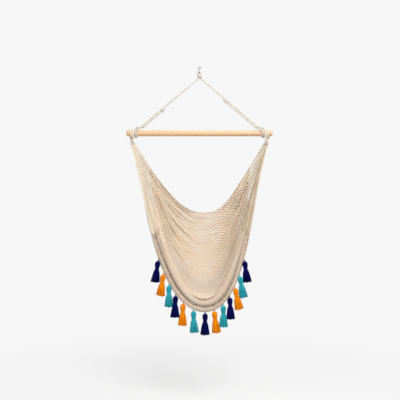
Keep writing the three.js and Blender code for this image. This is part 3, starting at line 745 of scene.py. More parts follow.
@dataclass
class Throat:
    """Where the rope's loop, its cut end and its two legs are whipped together under the hook."""

    rope: float = 0.01
    loop_width: float = 0.031
    loop_drop: float = 0.034
    throat_drop: float = 0.054
    tail_length: float = 0.026
    leg_spread: float = 0.0106
    whipping: float = 0.0032
    turns: float = 3.0
    throat_run: float = 0.002
    tail_share: float = 0.8

    @property
    def swing_drop(self) -> float:
        """How far the point that the legs swing about lies under the hang point."""
        return self.throat_drop + (self.whipping + TURN_GAP) * self.turns + self.whipping + self.throat_run

    def loop_route(self) -> np.ndarray:
        """Middle of the loop that lies over the hook's lower bend."""
        end = self.swing_drop - self.rope / 2.0 - SEAT_GAP
        bend = self.loop_width / 2.0 - self.rope / 2.0
        middle = self.loop_drop + bend
        half = self.leg_spread / 2.0
        points = [(-half, 0.0, -end), (-half, 0.0, -self.throat_drop - SEAT_GAP)]
        for angle in np.linspace(1.1 * math.pi, -0.1 * math.pi, 11):
            points.append((bend * math.cos(angle), 0.0, bend * math.sin(angle) - middle))
        points += [(half, 0.0, -self.throat_drop - SEAT_GAP), (half, 0.0, -end)]
        return curve_through(points, 160)

    def tail_route(self) -> np.ndarray:
        """Middle of the cut end that stands up beside the loop."""
        radius = self.rope * self.tail_share / 2.0
        front = -(self.rope / 2.0 + radius + 2.0 * SEAT_GAP)
        foot = self.throat_drop - 4.0 * TURN_GAP
        steps = ((0.66, 0.0), (0.9, 0.25), (1.25, 0.6), (1.6, 1.0))
        points = [(-self.leg_spread * out, front, self.tail_length * rise - foot) for out, rise in steps]
        return curve_through(points, 40)

    def build(self) -> None:
        """Makes the loop, the cut end with its frayed tip, and the whipping."""
        loop = laid(self.loop_route(), self.rope / 2.0, 3, 0.03, 8)
        add_piece("rope_loop", loop, ROPE, "rope", "loop", "hanging_loop")
        path = self.tail_route()
        tail = self.rope * self.tail_share
        yarns = laid(path, tail / 2.0, 3, 0.026, 8) + Fray().yarns(path, tail, 5)
        add_piece("rope_tail", yarns, ROPE, "rope", "loop", "loop_tail")
        height = (self.whipping + TURN_GAP) * self.turns + self.whipping
        turns = winding(
            np.array([0.0, 0.0, -self.throat_drop - height / 2.0]), UP, ACROSS, BACKWARDS,
            self.leg_spread / 2.0 + self.rope / 2.0 + SEAT_GAP + self.whipping / 2.0,
            self.whipping + TURN_GAP, self.turns, 32,
        )
        wrap = laid(turns, self.whipping / 2.0 * 1.08, 2, 0.008)
        add_piece("throat_whipping", wrap, CORD, "cord", "throat", "apex_whipping")
        LOG.info("throat: loop, cut end and %.0f turns of whipping", self.turns)


@dataclass
class BarSizes:
    """Sizes of the spreader bar and of the places of the windings on it."""

    length: float = 0.914
    diameter: float = 0.038
    drop: float = 0.415
    end_round: float = 0.009
    eye_cord: float = 0.012
    eye_turns: float = 1.5
    eye_inset: float = 0.024
    flank_share: float = 0.12
    rope: float = 0.01
    rope_turns: float = 1.5

    @property
    def eye_pitch(self) -> float:
        """Step from turn to turn of the sling's eye."""
        return self.eye_cord + TURN_GAP

    @property
    def eye_inner(self) -> float:
        """Place of the eye's innermost turn, from the bar's middle."""
        return self.length / 2.0 - self.eye_inset - self.eye_cord / 2.0 - self.eye_pitch

    @property
    def rope_pitch(self) -> float:
        """Step from turn to turn of the rope."""
        return self.rope + TURN_GAP

    @property
    def rope_inner(self) -> float:
        """Place of the rope's innermost turn, from the bar's middle."""
        outer = self.eye_inner - self.eye_cord * (0.5 + self.flank_share) - self.rope / 2.0 - 3.0 * TURN_GAP
        return outer - self.rope_pitch


@dataclass
class SpreaderBar:
    """Round wooden bar with eased ends."""

    sizes: BarSizes = field(default_factory=BarSizes)
    facets: int = 72

    def build(self) -> None:
        """Makes the bar in place of its solid."""
        half, radius, ease = self.sizes.length / 2.0, self.sizes.diameter / 2.0, self.sizes.end_round
        angle = np.linspace(0.0, math.pi / 2.0, 8)
        ends = half - ease * (1.0 - np.cos(angle))
        end_radii = radius - ease + ease * np.sin(angle)
        middle = np.linspace(-half + ease, half - ease, 40)[1:-1]
        places = np.concatenate([-ends, middle, ends[::-1]])
        radii = np.concatenate([end_radii, np.full(len(middle), radius), end_radii[::-1]])
        path = np.stack([places, np.zeros_like(places), np.full_like(places, -self.sizes.drop)], axis=1)
        tube = Tube(path, radii, self.facets)
        add_piece("bar", [tube], WoodFinish(), "wood", "suspension", "spreader_bar")
        LOG.info("bar: %.0f by %.0f mm", self.sizes.length * 1000, self.sizes.diameter * 1000)


@dataclass
class SuspensionRope:
    """One leg: from the throat to the bar, one and a half turns round it, and back up as a tail."""

    side: Side
    tail: float
    throat: Throat = field(default_factory=Throat)
    sizes: BarSizes = field(default_factory=BarSizes)
    join_run: float = 0.045
    seizing_cord: float = 0.003
    seizing_turns: float = 2.0
    seizing_inset: float = 0.016

    def route(self) -> tuple[np.ndarray, np.ndarray, np.ndarray, np.ndarray]:
        """Middle of the rope, with the directions along the leg and beside it and the corner at the bar."""
        side, rope, bar = self.side.value, self.sizes.rope, self.sizes
        wound = winding(
            np.array([side * (bar.rope_inner + bar.rope_pitch * bar.rope_turns / 2.0), 0.0, -bar.drop]),
            ACROSS * side, -BACKWARDS, -UP, bar.diameter / 2.0 + SEAT_GAP + rope / 2.0,
            bar.rope_pitch, bar.rope_turns,
        )
        top = np.array([side * self.throat.leg_spread / 2.0, 0.0, -self.throat.swing_drop])
        rise = rope * 1.5
        corner = wound[0] + UP * rise
        along = unit(top - corner)
        begin = corner + along * rise
        bends = [
            (1 - t) ** 2 * begin + 2 * t * (1 - t) * corner + t ** 2 * wound[0]
            for t in np.linspace(0.0, 1.0, 9)[:-1]
        ]
        leg = [top + (begin - top) * share for share in np.linspace(0.0, 1.0, 30)[:-1]]
        beside = unit(np.cross(BACKWARDS, along)) * -side
        last = wound[-1]
        joined = self.join_run * 1.3

        def tail_at(run: float) -> np.ndarray:
            """Point of the tail where it lies beside the leg."""
            return corner + along * run + beside * (rope + TURN_GAP)

        def tail_place(inward: float, backward: float, lift: float) -> np.ndarray:
            """Point of the tail on its way over the bar."""
            return np.array([last[0] - side * inward * rope, backward * last[1], last[2] + lift * rope])

        crossing = curve_through([
            last, tail_place(-0.05, 1.0, 1.0), tail_place(0.05, 0.93, 2.4), tail_place(1.0, 0.55, 3.5),
            tail_place(2.6, 0.0, 3.6), tail_place(4.2, -0.55, 3.3), tail_at(self.join_run), tail_at(joined),
        ], 48)[1:]
        end = [tail_at(run) for run in np.linspace(joined, self.tail, 10)[1:]]
        return np.array([*leg, *bends, *wound, *crossing, *end]), along, beside, corner

    def build(self) -> None:
        """Makes the leg with its frayed end, and the seizing that holds its tail."""
        word, rope = self.side.word, self.sizes.rope
        path, along, beside, corner = self.route()
        yarns = laid(path, rope / 2.0, 3, 0.034, 7)
        leg = add_piece(f"{word}_leg", yarns, ROPE, "rope", "suspension", f"{word}_rope")
        loose = Fray().yarns(path, rope, 17 + self.side.value)
        fray = add_piece(f"{word}_leg_fray", loose, ROPE, "rope", "suspension")
        midway = (rope + TURN_GAP) / 2.0
        turns = winding(
            corner + along * (self.tail - self.seizing_inset) + beside * midway,
            along, beside, np.cross(along, beside), rope / 2.0 + SEAT_GAP + self.seizing_cord / 2.0,
            (self.seizing_cord + TURN_GAP) / 2.0, self.seizing_turns * 2.0, 24, midway,
        )
        seizing = laid(turns, self.seizing_cord / 3.4, 2, 0.006, 5)
        add_piece(f"{word}_seizing", seizing, CORD, "cord", "suspension", f"{word}_rope_seizing")


# The sling

Places = np.ndarray | float


@dataclass(frozen=True)
class Crease:
    """Line of the net that is drawn back, or pushed forward where its depth is below zero, with painted shade
    along it.
    """

    share: float
    half_width: float
    depth: float
    # How dark the painted shade along the line is.
    shade: float
    middle: float = 0.0
    reach: float = 2.0
    slant: float = 0.0

    def strength(self, along: np.ndarray, share: np.ndarray) -> np.ndarray:
        """How fully the crease holds at each place, from 0 to 1."""
        line = self.share + self.slant * (along - self.middle)
        beside = smoothstep(1.0 - np.abs(share - line) / self.half_width)
        return beside * smoothstep(1.6 * (1.0 - np.abs(along - self.middle) / self.reach))


@dataclass
class SlingShape:
    """Surface of the hanging sling.

    Along goes from the left neck, -1, to the right one, 1, and share from the back edge, 0, to the front, 1.
    """

    drop: float = 0.415
    reach: float = 1.1
    back_lean: float = math.radians(23.3)
    front_lean: float = math.radians(9.6)
    drift: float = 0.03
    lean_shares: tuple[float, ...] = (
        1, 0.957, 0.867, 0.742, 0.558, 0.33, 0.107, -0.3, -0.885, -1.03, -0.96, -1.085, -1,
    )
    reach_shares: tuple[float, ...] = (
        0.498, 0.59, 0.69, 0.79, 0.872, 0.928, 0.95, 0.952, 0.9385, 0.957, 0.971, 0.989, 1,
    )
    back_handles: tuple[float, float, float] = (0.51, 0.8, 0.31)
    crest_handles: tuple[float, float, float] = (0.42, 0.515, 0.415)
    edge_handles: tuple[float, float, float] = (0.225, 0.23, 0.68)
    profile_divisions: int = 1200
    end_places: int = 201
    halvings: int = 30
    crest: float = 0.891
    neck_end: float = 0.0645
    neck_offset: float = 0.42
    neck_width: float = 0.024
    back_drop: float = 0.225
    front_drop: float = 0.65
    fold_depth: float = 0.011
    fold_count: float = 4.0
    gather_depth: float = 0.0035
    gather_count: float = 17.0
    rumple: float = 0.0011
    # Real folds with painted shade along them: share, half width, depth, shade, middle, reach, slant. Those
    # with no depth are painted shade only.
    creases: tuple[Crease, ...] = (
        Crease(0.683, 0.024, 0.004, 0.9, 0.03, 0.23),
        Crease(0.886, 0.02, 0.001, 0.85, 0.03, 0.24),
        Crease(0.54, 0.15, 0.0, 0.25, 0.1, 0.8),
        Crease(0.950, 0.016, 0.002, 0.6, 0.0, 0.9),
        Crease(0.954, 0.015, 0.0025, 1.0, 0.06, 0.28),
        Crease(0.616, 0.034, 0.009, 0.5, -0.42, 0.38),
        Crease(0.618, 0.038, 0.014, 0.75, 0.43, 0.36, 0.02),
        Crease(0.80, 0.035, 0.005, 0.4, -0.52, 0.26, -0.1),
        Crease(0.84, 0.06, 0.003, 0.25, 0.48, 0.3),
        Crease(0.45, 0.03, 0.006, 0.3, -0.5, 0.24, -0.1),
        Crease(0.03, 0.04, 0.003, 0.3, -0.5, 0.4),
    )

    def __post_init__(self) -> None:
        """Tables the middle profile by its length, and the net's ends."""
        shares = np.array(self.lean_shares)
        leans = shares * np.where(shares > 0, self.back_lean, self.front_lean)
        reaches = np.array(self.reach_shares) * self.reach
        points = np.stack([np.zeros_like(leans), reaches * np.sin(leans), -reaches * np.cos(leans)], axis=1)
        curve = curve_through(points, self.profile_divisions)
        run = lengths_along(curve)
        self.length = float(run[-1])
        self._run, self._y, self._z = run / run[-1], curve[:, 1], curve[:, 2]
        self._end_shares = np.linspace(0.0, 1.0, self.end_places)
        inner, outer = np.zeros(self.end_places), np.ones(self.end_places)
        target = self.back_drop + (self.front_drop - self.back_drop) * self._end_shares
        for _ in range(self.halvings):
            middle = (inner + outer) / 2.0
            point = self.point(middle, self._end_shares)
            deep = np.hypot(point[:, 1], point[:, 2] + self.drop) > target
            inner, outer = np.where(deep, middle, inner), np.where(deep, outer, middle)
        self._ends = inner

    def handles(self, share: np.ndarray) -> tuple[np.ndarray, ...]:
        """Shape of the cord at each share, between the neck and its low point."""
        to_crest = smoothstep(share / self.crest)
        to_edge = smoothstep((share - self.crest) / (1.0 - self.crest))
        handles = zip(self.back_handles, self.crest_handles, self.edge_handles)
        return tuple((b + (c - b) * to_crest) * (1.0 - to_edge) + e * to_edge for b, c, e in handles)

    def point(self, along: Places, share: Places, fold: Places = 0.0) -> np.ndarray:
        """Points of the surface.

        Args:
            along: Places from the left neck to the right one.
            share: Places from the back edge to the front edge.
            fold: How much lower a fold lies there.

        Returns:
            The points, one for each pair.
        """
        along, share, fold = np.broadcast_arrays(*(np.asarray(v, float) for v in (along, share, fold)))
        held = np.clip(share, 0.0, 1.0)
        y, z = np.interp(held, self._run, self._y), np.interp(held, self._run, self._z)
        reach, lean = np.hypot(y, z), np.arctan2(y, -z)
        neck_across, neck_down, low_across = self.handles(share)
        neck = self.neck_offset + (share - 0.5) * self.neck_width
        t = 1.0 - np.abs(along)
        a, b, c = (1 - t) ** 3, 3 * t * (1 - t) ** 2, 3 * t ** 2 * (1 - t)
        out = a * neck + b * neck * (1.0 - neck_across) + c * neck * low_across
        lowered = self.neck_end + neck_down * (reach - self.neck_end)
        down = a * self.neck_end + b * lowered + (c + t ** 3) * reach
        even = self.back_lean + (-self.front_lean - self.back_lean) * share
        lie = even + (lean - even) * smoothstep((down - self.neck_end) / self.back_drop)
        x = np.sign(along) * out + self.drift * (down / reach) ** 3
        length = down + fold
        return np.stack([x, length * np.sin(lie), -length * np.cos(lie) - self.drop], axis=-1)

    def net_end(self, share: Places) -> np.ndarray:
        """How far along from the low point the net ends."""
        return np.interp(share, self._end_shares, self._ends)

    def fold(self, along: np.ndarray, share: np.ndarray) -> np.ndarray:
        """Gathered folds of the net, deepest where the end cords take hold of it."""
        near = smoothstep(np.abs(along) / self.net_end(share))
        body = smoothstep(share / 0.12) * smoothstep((self.crest - share) / 0.12)
        main = self.fold_depth * near ** 2 * body * np.sin(2.0 * math.pi * self.fold_count * share)
        turn = 2.0 * math.pi * self.gather_count * share + 1.3 * np.sign(along)
        fine = self.gather_depth * near ** 4 * np.sin(turn)
        return main + fine * smoothstep(share / 0.04) * smoothstep((1.0 - share) / 0.04)

    def rumpled(self, along: np.ndarray, share: np.ndarray) -> tuple[np.ndarray, np.ndarray]:
        """How far the net lies behind its even surface, and the painted shade of its hollows, creases and
        front band.

        Args:
            along: Places from the left neck to the right one.
            share: Places from the back edge to the front edge.

        Returns:
            The depth and the painted shade at each place.
        """
        chance = np.random.default_rng(11)
        near = smoothstep(np.abs(along) / self.net_end(share))
        depth = np.zeros(np.broadcast(along, share).shape)
        for _ in range(12):
            across = chance.uniform(9.0, 30.0)
            lengthwise = chance.normal(0.0, 1.6)
            start = chance.uniform(0.0, 6.3)
            wave = np.sin(2.0 * math.pi * (share * across + along * lengthwise) + start)
            depth = depth + wave * self.rumple * (0.4 + 1.1 * near ** 2)
        # Painted shade, darker where the net lies deeper.
        shade = smoothstep(depth / (self.rumple * 6.0)) * 0.4
        for crease in self.creases:
            held = crease.strength(along, share)
            depth = depth + held * crease.depth
            shade = np.maximum(shade, held * crease.shade)
        # Painted shade over the band along the front, under the roll.
        shade = np.maximum(shade, 0.3 * smoothstep((share - self.crest - 0.02) / 0.03))
        return depth, shade

    def folded(self, along: np.ndarray, share: np.ndarray) -> np.ndarray:
        """Points of the surface with its folds."""
        return self.point(along, share, self.fold(np.asarray(along, float), np.asarray(share, float)))

    def normal(self, along: np.ndarray, share: np.ndarray) -> np.ndarray:
        """Directions square to the folded surface."""
        step = 1e-3
        low, high = np.maximum(share - step, 0.0), np.minimum(share + step, 1.0)
        ahead = self.folded(along + step, share) - self.folded(along - step, share)
        onward = self.folded(along, high) - self.folded(along, low)
        return unit(np.cross(ahead, onward))


@dataclass
class SlingEye:
    """Eye of the sling on the bar, and the binding that closes its neck."""

    side: Side
    sizes: BarSizes = field(default_factory=BarSizes)
    binding_cord: float = 0.006
    binding_turns: float = 2.0
    neck_top: float = 0.046
    neck_offset: float = 0.42

    @property
    def neck_half(self) -> float:
        """Distance from the neck's middle to the middle of either cord in it."""
        return self.sizes.eye_cord / 2.0 + 2.0 * SEAT_GAP

    def eye_route(self) -> np.ndarray:
        """Middle of the eye's cord: up the neck's front, round the bar, and down the neck's back."""
        side, bar = self.side.value, self.sizes
        wound = winding(
            np.array([side * (bar.eye_inner + bar.eye_pitch * bar.eye_turns / 2.0), 0.0, -bar.drop]),
            ACROSS * side, -BACKWARDS, UP, bar.diameter / 2.0 + SEAT_GAP + bar.eye_cord / 2.0,
            bar.eye_pitch, bar.eye_turns,
        )
        neck_run = self.binding_turns * (self.binding_cord + TURN_GAP)
        neck_half = self.neck_half

        def end(start: np.ndarray, front: bool) -> np.ndarray:
            """Route from the bar down into the neck."""
            y = (-1.0 if front else 1.0) * neck_half
            top = np.array([side * self.neck_offset, y, self.binding_cord / 2.0 - bar.drop - self.neck_top])
            foot = np.array([side * self.neck_offset, y, -bar.drop - self.neck_top - neck_run])
            aside = side * (-1.0 if front else 1.0) * bar.eye_cord * bar.flank_share
            flank = np.array([start[0] + aside, start[1] * 0.95, -bar.drop - bar.diameter * 0.375])
            inward = (top[0] - start[0]) * 0.12
            shoulder = np.array([start[0] + inward, start[1] * 0.68, -bar.drop - bar.diameter * 0.825])
            return curve_through([start, flank, shoulder, top, top + (foot - top) * 0.3, foot], 40)

        return np.vstack([end(wound[0], True)[::-1][:-1], wound, end(wound[-1], False)[1:]])

    def build(self) -> None:
        """Makes the eye, the binding and the binding's cut end."""
        word, side, bar = self.side.word, self.side.value, self.sizes
        yarns = laid(self.eye_route(), bar.eye_cord / 2.0, 4, 0.055, 7)
        add_piece(f"{word}_eye", yarns, CORD, "cord", "sling", f"{word}_sling_eye")
        pitch = self.binding_cord + TURN_GAP
        level = -bar.drop - self.neck_top - self.binding_turns * pitch / 2.0
        centre = np.array([side * self.neck_offset, 0.0, level])
        cord = self.binding_cord / 2.0
        radius = bar.eye_cord / 2.0 + SEAT_GAP + cord / 2.0 + 0.0005
        turns = winding(
            centre, UP, BACKWARDS, ACROSS, radius, pitch / 2.0, self.binding_turns * 2.0, 24, self.neck_half,
        )
        wraps = laid(turns, cord / 2.0 * 1.12, 2, 0.008)
        start = turns[-1] + ACROSS * side * 0.001
        steps = ((0.006, -0.006, -0.001), (0.012, -0.011, -0.007), (0.014, -0.014, -0.016))
        points = [start] + [start + np.array([side * x, y, z]) for x, y, z in steps]
        wraps += laid(curve_through(points, 12), cord / 2.0, 2, 0.008)
        add_piece(f"{word}_binding", wraps, CORD, "cord", "sling", f"{word}_neck_binding")
        LOG.info("%s eye and binding on the bar", word)


@dataclass
class EndCords:
    """Cords that run from one end of the net up to the neck, closer together at the front."""

    side: Side
    shape: SlingShape
    groups: tuple[tuple[float, float, int], ...] = (
        (0.0, 0.45, 18), (0.45, 0.78, 14), (0.78, 0.9, 10), (0.9, 1.0, 26),
    )
    front_from: float = 0.6
    edge_room: float = 0.008
    net_hold: float = 0.008
    root_first: float = 0.07
    root_span: float = 0.86
    layer_step: float = 0.0028
    front_swell: float = 1.2
    cord: float = 0.0036
    points: int = 20

    def route(self, share: float, layer: int, chance: np.random.Generator) -> np.ndarray:
        """Middle of one cord from the neck to the net.

        Args:
            share: Place where it meets the net, from the back edge to the front one.
            layer: -1, 0 or 1 for the layer that it lies in at the neck.
            chance: Source of its unevenness.

        Returns:
            The cord's points.
        """
        side = self.side.value
        run = np.linspace(0.0, 1.0, self.points)
        shift, root_shift, bow, sway, wave = 0.002, 0.01, 0.0012, 0.0016, 0.0008
        held = float(np.clip(share + chance.normal(0.0, shift), self.edge_room, 1.0 - self.edge_room))
        end = float(self.shape.net_end(held)) - self.net_hold
        root = self.root_first + self.root_span * held + chance.normal(0.0, root_shift)
        along = side * (1.0 + (end - 1.0) * run)
        place = root + (held - root) * run
        fold = float(self.shape.fold(np.array(end * side), np.array(held)))
        path = self.shape.point(along, place, fold * run ** 2)
        bulge = np.sin(math.pi * run)
        off = layer * self.layer_step * (1.0 - run) + chance.normal(0.0, bow) * bulge
        inside_neck = 0.999
        path = path + self.shape.normal(along * inside_neck, place) * off[:, None]
        aside = bulge * chance.normal(0.0, sway) + np.sin(2 * math.pi * run) * chance.normal(0.0, wave)
        return path + np.outer(aside, ACROSS)

    def build(self) -> None:
        """Makes the cords in two pieces, the pale ones behind and the fuller ones along the front."""
        word, side = self.side.word, self.side.value
        chance = np.random.default_rng(31 + side)
        shares = np.concatenate([
            low + (high - low) * (np.arange(count) + 0.5) / count for low, high, count in self.groups
        ])
        radius = np.full(self.points, self.cord / 2.0)
        radius[-2:] = (self.cord * 0.75, self.cord * 0.6)
        behind, front = [], []
        for index, share in enumerate(shares):
            path = self.route(share, index % 3 - 1, chance)
            if share > self.front_from:
                # Painted shade on the front cords, darker on the right side and uneven at random.
                shadow = float(np.clip(chance.normal(0.12 + 0.16 * side, 0.16), 0.0, 0.7))
                front.append(Tube(path, radius * self.front_swell, 6, float(chance.random()), None, shadow))
            else:
                behind.append(Tube(path, radius, 6, float(chance.random())))
        solids = [f"{word}_end_cords_{number}" for number in (1, 2, 3, 4)]
        add_piece(f"{word}_cords_behind", behind, CORD, "cord", "sling", *solids[:3])
        add_piece(f"{word}_cords_front", front, FRONT_CORD, "cord", "sling", solids[3])
        LOG.info("%s end cords: %d", word, len(shares))


@dataclass
class SeatNet:
    """Net of linked yarns. Each yarn runs from end to end and links with its two neighbours in turn."""

    shape: SlingShape
    yarn: float = 0.009
    flatness: float = 0.46
    pitch: float = 0.0096
    band_pitch: float = 0.0056
    lip: float = 0.926
    lip_half: float = 0.016
    link: float = 0.012
    joined: float = 0.44
    edge_room: float = 0.0045
    rib_pitch: float = 0.0125
    rib: float = 0.0055
    table_places: int = 241
    jitter: float = 0.0004
    header: float = 0.0026
    header_lift: float = 0.0012
    header_places: int = 160
    header_room: float = 0.004
    rib_from: float = 0.957
    rib_to: float = 0.994

    def build(self) -> None:
        shares = self.yarn_shares()
        along, links, width = self.link_places(shares)
        net = add_piece("net", self.yarns(shares, along, links), NET, "net", "sling", "seat_net")
        more = [
            add_piece("net_end_cords", self.headers(), NET, "net", "sling"),
            add_piece("net_edge_ribs", self.ribs(), NET, "net", "sling"),
        ]

    def link_places(self, shares: np.ndarray) -> tuple[np.ndarray, int, float]:
        """Places of the links along the yarns.

        Args:
            shares: Place of each yarn, from the back edge to the front one.

        Returns:
            How far along each yarn's points lie, the links in a yarn and the yarns' mean length.
        """
        dense = np.linspace(-1.0, 1.0, self.table_places)
        rough_along = dense[None] * self.shape.net_end(shares)[:, None]
        rough = self.shape.folded(rough_along, np.repeat(shares[:, None], self.table_places, axis=1))
        steps = np.linalg.norm(np.diff(rough, axis=1), axis=2)
        lengths = np.concatenate([np.zeros((len(shares), 1)), np.cumsum(steps, axis=1)], axis=1)
        links = int(round(float(np.median(lengths[:, -1])) / self.link))
        middles = (np.arange(links) + 0.5)[:, None] + np.array([-0.5, 0.5])[None] * self.joined
        stations = np.concatenate([[0.0], middles.ravel(), [float(links)]]) / links
        along = np.stack([
            np.interp(stations * run[-1], run, dense_along) for run, dense_along in zip(lengths, rough_along)
        ])
        return along, links, float(np.mean(lengths[:, -1]))

    def yarns(self, shares: np.ndarray, along: np.ndarray, links: int) -> list[Tube]:
        """Yarns of the net, each linked with its two neighbours in turn.

        Args:
            shares: Place of each yarn, from the back edge to the front one.
            along: How far along each yarn's points lie.
            links: Number of links in a yarn.

        Returns:
            One tube for each yarn.
        """
        shape = self.shape
        count, stations = along.shape
        place = np.repeat(shares[:, None], stations, axis=1)
        even = shape.normal(along, place)
        depth, shade = shape.rumpled(along, place)
        points = shape.folded(along, place) + even * depth[..., None]
        onward = np.gradient(points, axis=0)
        gap = np.linalg.norm(onward, axis=2, keepdims=True)
        onward = onward / gap
        square = unit(np.cross(np.gradient(points, axis=1), onward))
        square = square * np.where(np.sum(square * even, axis=2, keepdims=True) < 0.0, -1.0, 1.0)
        station = np.arange(stations)
        number = np.clip((station - 1) // 2, 0, links - 1)
        row = np.arange(count)[:, None]
        turn = np.where((row + number[None]) % 2 == 0, 1.0, -1.0)[..., None]
        over = turn * np.where(station % 2 == 0, 1.0, -1.0)[None, :, None]
        chance = np.random.default_rng(3)
        pull = 1.0 + 0.3 * chance.normal(0.0, 1.0, (count, links, 1))[:, number]
        tight = self.tight(place)[..., None]
        squeezed = np.clip(gap / self.pitch * (1.0 + 0.14 * tight), 0.4, 1.05 + 0.25 * tight) ** 0.85
        touch_share = 0.29
        meet = np.maximum(gap / 2.0 - self.yarn * squeezed * touch_share, gap * 0.1)
        meet = meet * np.clip(pull, 0.3, 1.5) * (1.0 - 0.65 * tight)
        crowded = np.clip(1.0 - gap / self.pitch, 0.0, 0.6)
        loose = chance.normal(0.0, self.jitter, points.shape)
        lift = square * over * self.yarn * (0.14 + 0.16 * crowded)
        middle = points + onward * turn * meet + lift + loose
        drift = np.cumsum(chance.normal(0.0, 0.2, count))
        patch = np.sin(place * 31.0 + along * 5.0) * np.sin(along * 13.0 - place * 9.0) * 0.16
        mean_tone, band_tone, yarn_tone = 0.6, 0.12, 0.13
        tones = mean_tone + band_tone * np.sin(drift)[:, None]
        tones = tones + chance.normal(0.0, yarn_tone, (count, 1)) + patch
        tones = np.clip(tones, 0.0, 1.0)
        # Painted shade, darker where the yarns crowd together.
        shade = np.clip(shade + 0.25 * crowded[..., 0], 0.0, 0.95)
        thick = self.yarn / 2.0 * squeezed[..., 0]
        flat = np.minimum(self.flatness / squeezed[..., 0], 0.9)
        return [Tube(middle[i], thick[i], 4, tones[i], square[i], shade[i], flat[i]) for i in range(count)]

    def headers(self) -> list[Tube]:
        """Cords across the net's two ends, that the end cords hold."""
        share = np.linspace(self.header_room, 1.0 - self.header_room, self.header_places)
        out = []
        for side in Side:
            end = self.shape.net_end(share) * side.value
            route = self.shape.folded(end, share) + self.shape.normal(end, share) * self.header_lift
            out += laid(route, self.header, 2, 0.012, 5, 0.6)
        return out

    def tight(self, share: np.ndarray) -> np.ndarray:
        """How closely the yarns lie at each share, 1 in the roll and the band along the front."""
        return smoothstep((share - self.shape.crest + 0.045) / 0.03)

    def yarn_shares(self) -> np.ndarray:
        """Places of the yarns from the back edge to the front one, closer together along the front."""
        shape = self.shape
        edge = self.edge_room / shape.length
        fine = np.linspace(edge, 1.0 - edge, 2001)
        lip = smoothstep(1.0 - np.abs(fine - self.lip) / self.lip_half)
        rate = (1.0 + 0.5 * lip) / (self.pitch + (self.band_pitch - self.pitch) * self.tight(fine))
        mean = np.concatenate([[0.0], np.cumsum((rate[1:] + rate[:-1]) / 2.0)])
        run = mean * shape.length * (fine[1] - fine[0])
        count = int(round(run[-1]))
        return np.interp((np.arange(count) + 0.5) / count * run[-1], run, fine)

    def ribs(self) -> list[Tube]:
        """Loops of yarn side by side over the front edge, from the roll down to the edge rope."""
        shape = self.shape
        swell = np.array([0.6, 0.9, 1.0, 1.0, 1.0, 0.95, 0.8])
        low_rise, more_rise = 0.0026, 0.0012
        chance = np.random.default_rng(8)
        dense = np.linspace(-1.0, 1.0, 801) * float(shape.net_end(0.99))
        run = lengths_along(shape.point(dense, 0.985))
        count = int(round(run[-1] / self.rib_pitch))
        out = []
        for index in range(count):
            along = float(np.interp((index + 0.5 + chance.normal(0.0, 0.12)) / count * run[-1], run, dense))
            place = np.linspace(self.rib_from + chance.normal(0.0, 0.003), self.rib_to, len(swell))
            lean = along + (place - place[0]) * chance.normal(0.05, 0.04)
            square = shape.normal(lean, place)
            rise = low_rise + more_rise * np.sin(np.linspace(0.15, math.pi, len(swell)))
            path = shape.folded(lean, place) - square * rise[:, None]
            radius = self.rib / 2.0 * (1.0 + chance.normal(0.0, 0.12)) * swell
            # Every rib gets painted shade of 0.22.
            out.append(Tube(path, radius, 6, float(chance.uniform(0.0, 0.8)), square, 0.22, 0.7))
        return out


@dataclass
class EdgeRope:
    """Rope along one edge of the sling, with the yarn that lashes the net to it."""

    shape: SlingShape
    share: float
    word: str
    diameter: float = 0.006
    lashing_pitch: float = 0.014
    lashing: float = 0.002
    places: int = 900

    def route(self) -> np.ndarray:
        """Middle of the rope from neck to neck."""
        return stepped(self.shape.point(np.linspace(-1.0, 1.0, self.places), self.share), 0.004)

    def build(self) -> None:
        """Makes the rope and its lashing."""
        path = self.route()
        rope = laid(path, self.diameter / 2.0, 2, 0.02, 5, 0.6)
        add_piece(f"{self.word}_edge", rope, CORD, "cord", "sling", f"{self.word}_edge_rope")
        end = float(self.shape.net_end(self.share))
        along = np.linspace(-end, end, self.places)
        lashed = stepped(self.shape.point(along, self.share), self.lashing_pitch / 6.0)
        radius = self.diameter / 2.0 + self.lashing * 0.3
        helix = coils(lashed, radius, self.lashing_pitch)[0]
        add_piece(f"{self.word}_lashing", [Tube(helix, self.lashing / 2.0, 5, 0.35)], NET, "net", "sling")
        LOG.info("%s edge rope: %.2f m", self.word, lengths_along(path)[-1])


# Tassels


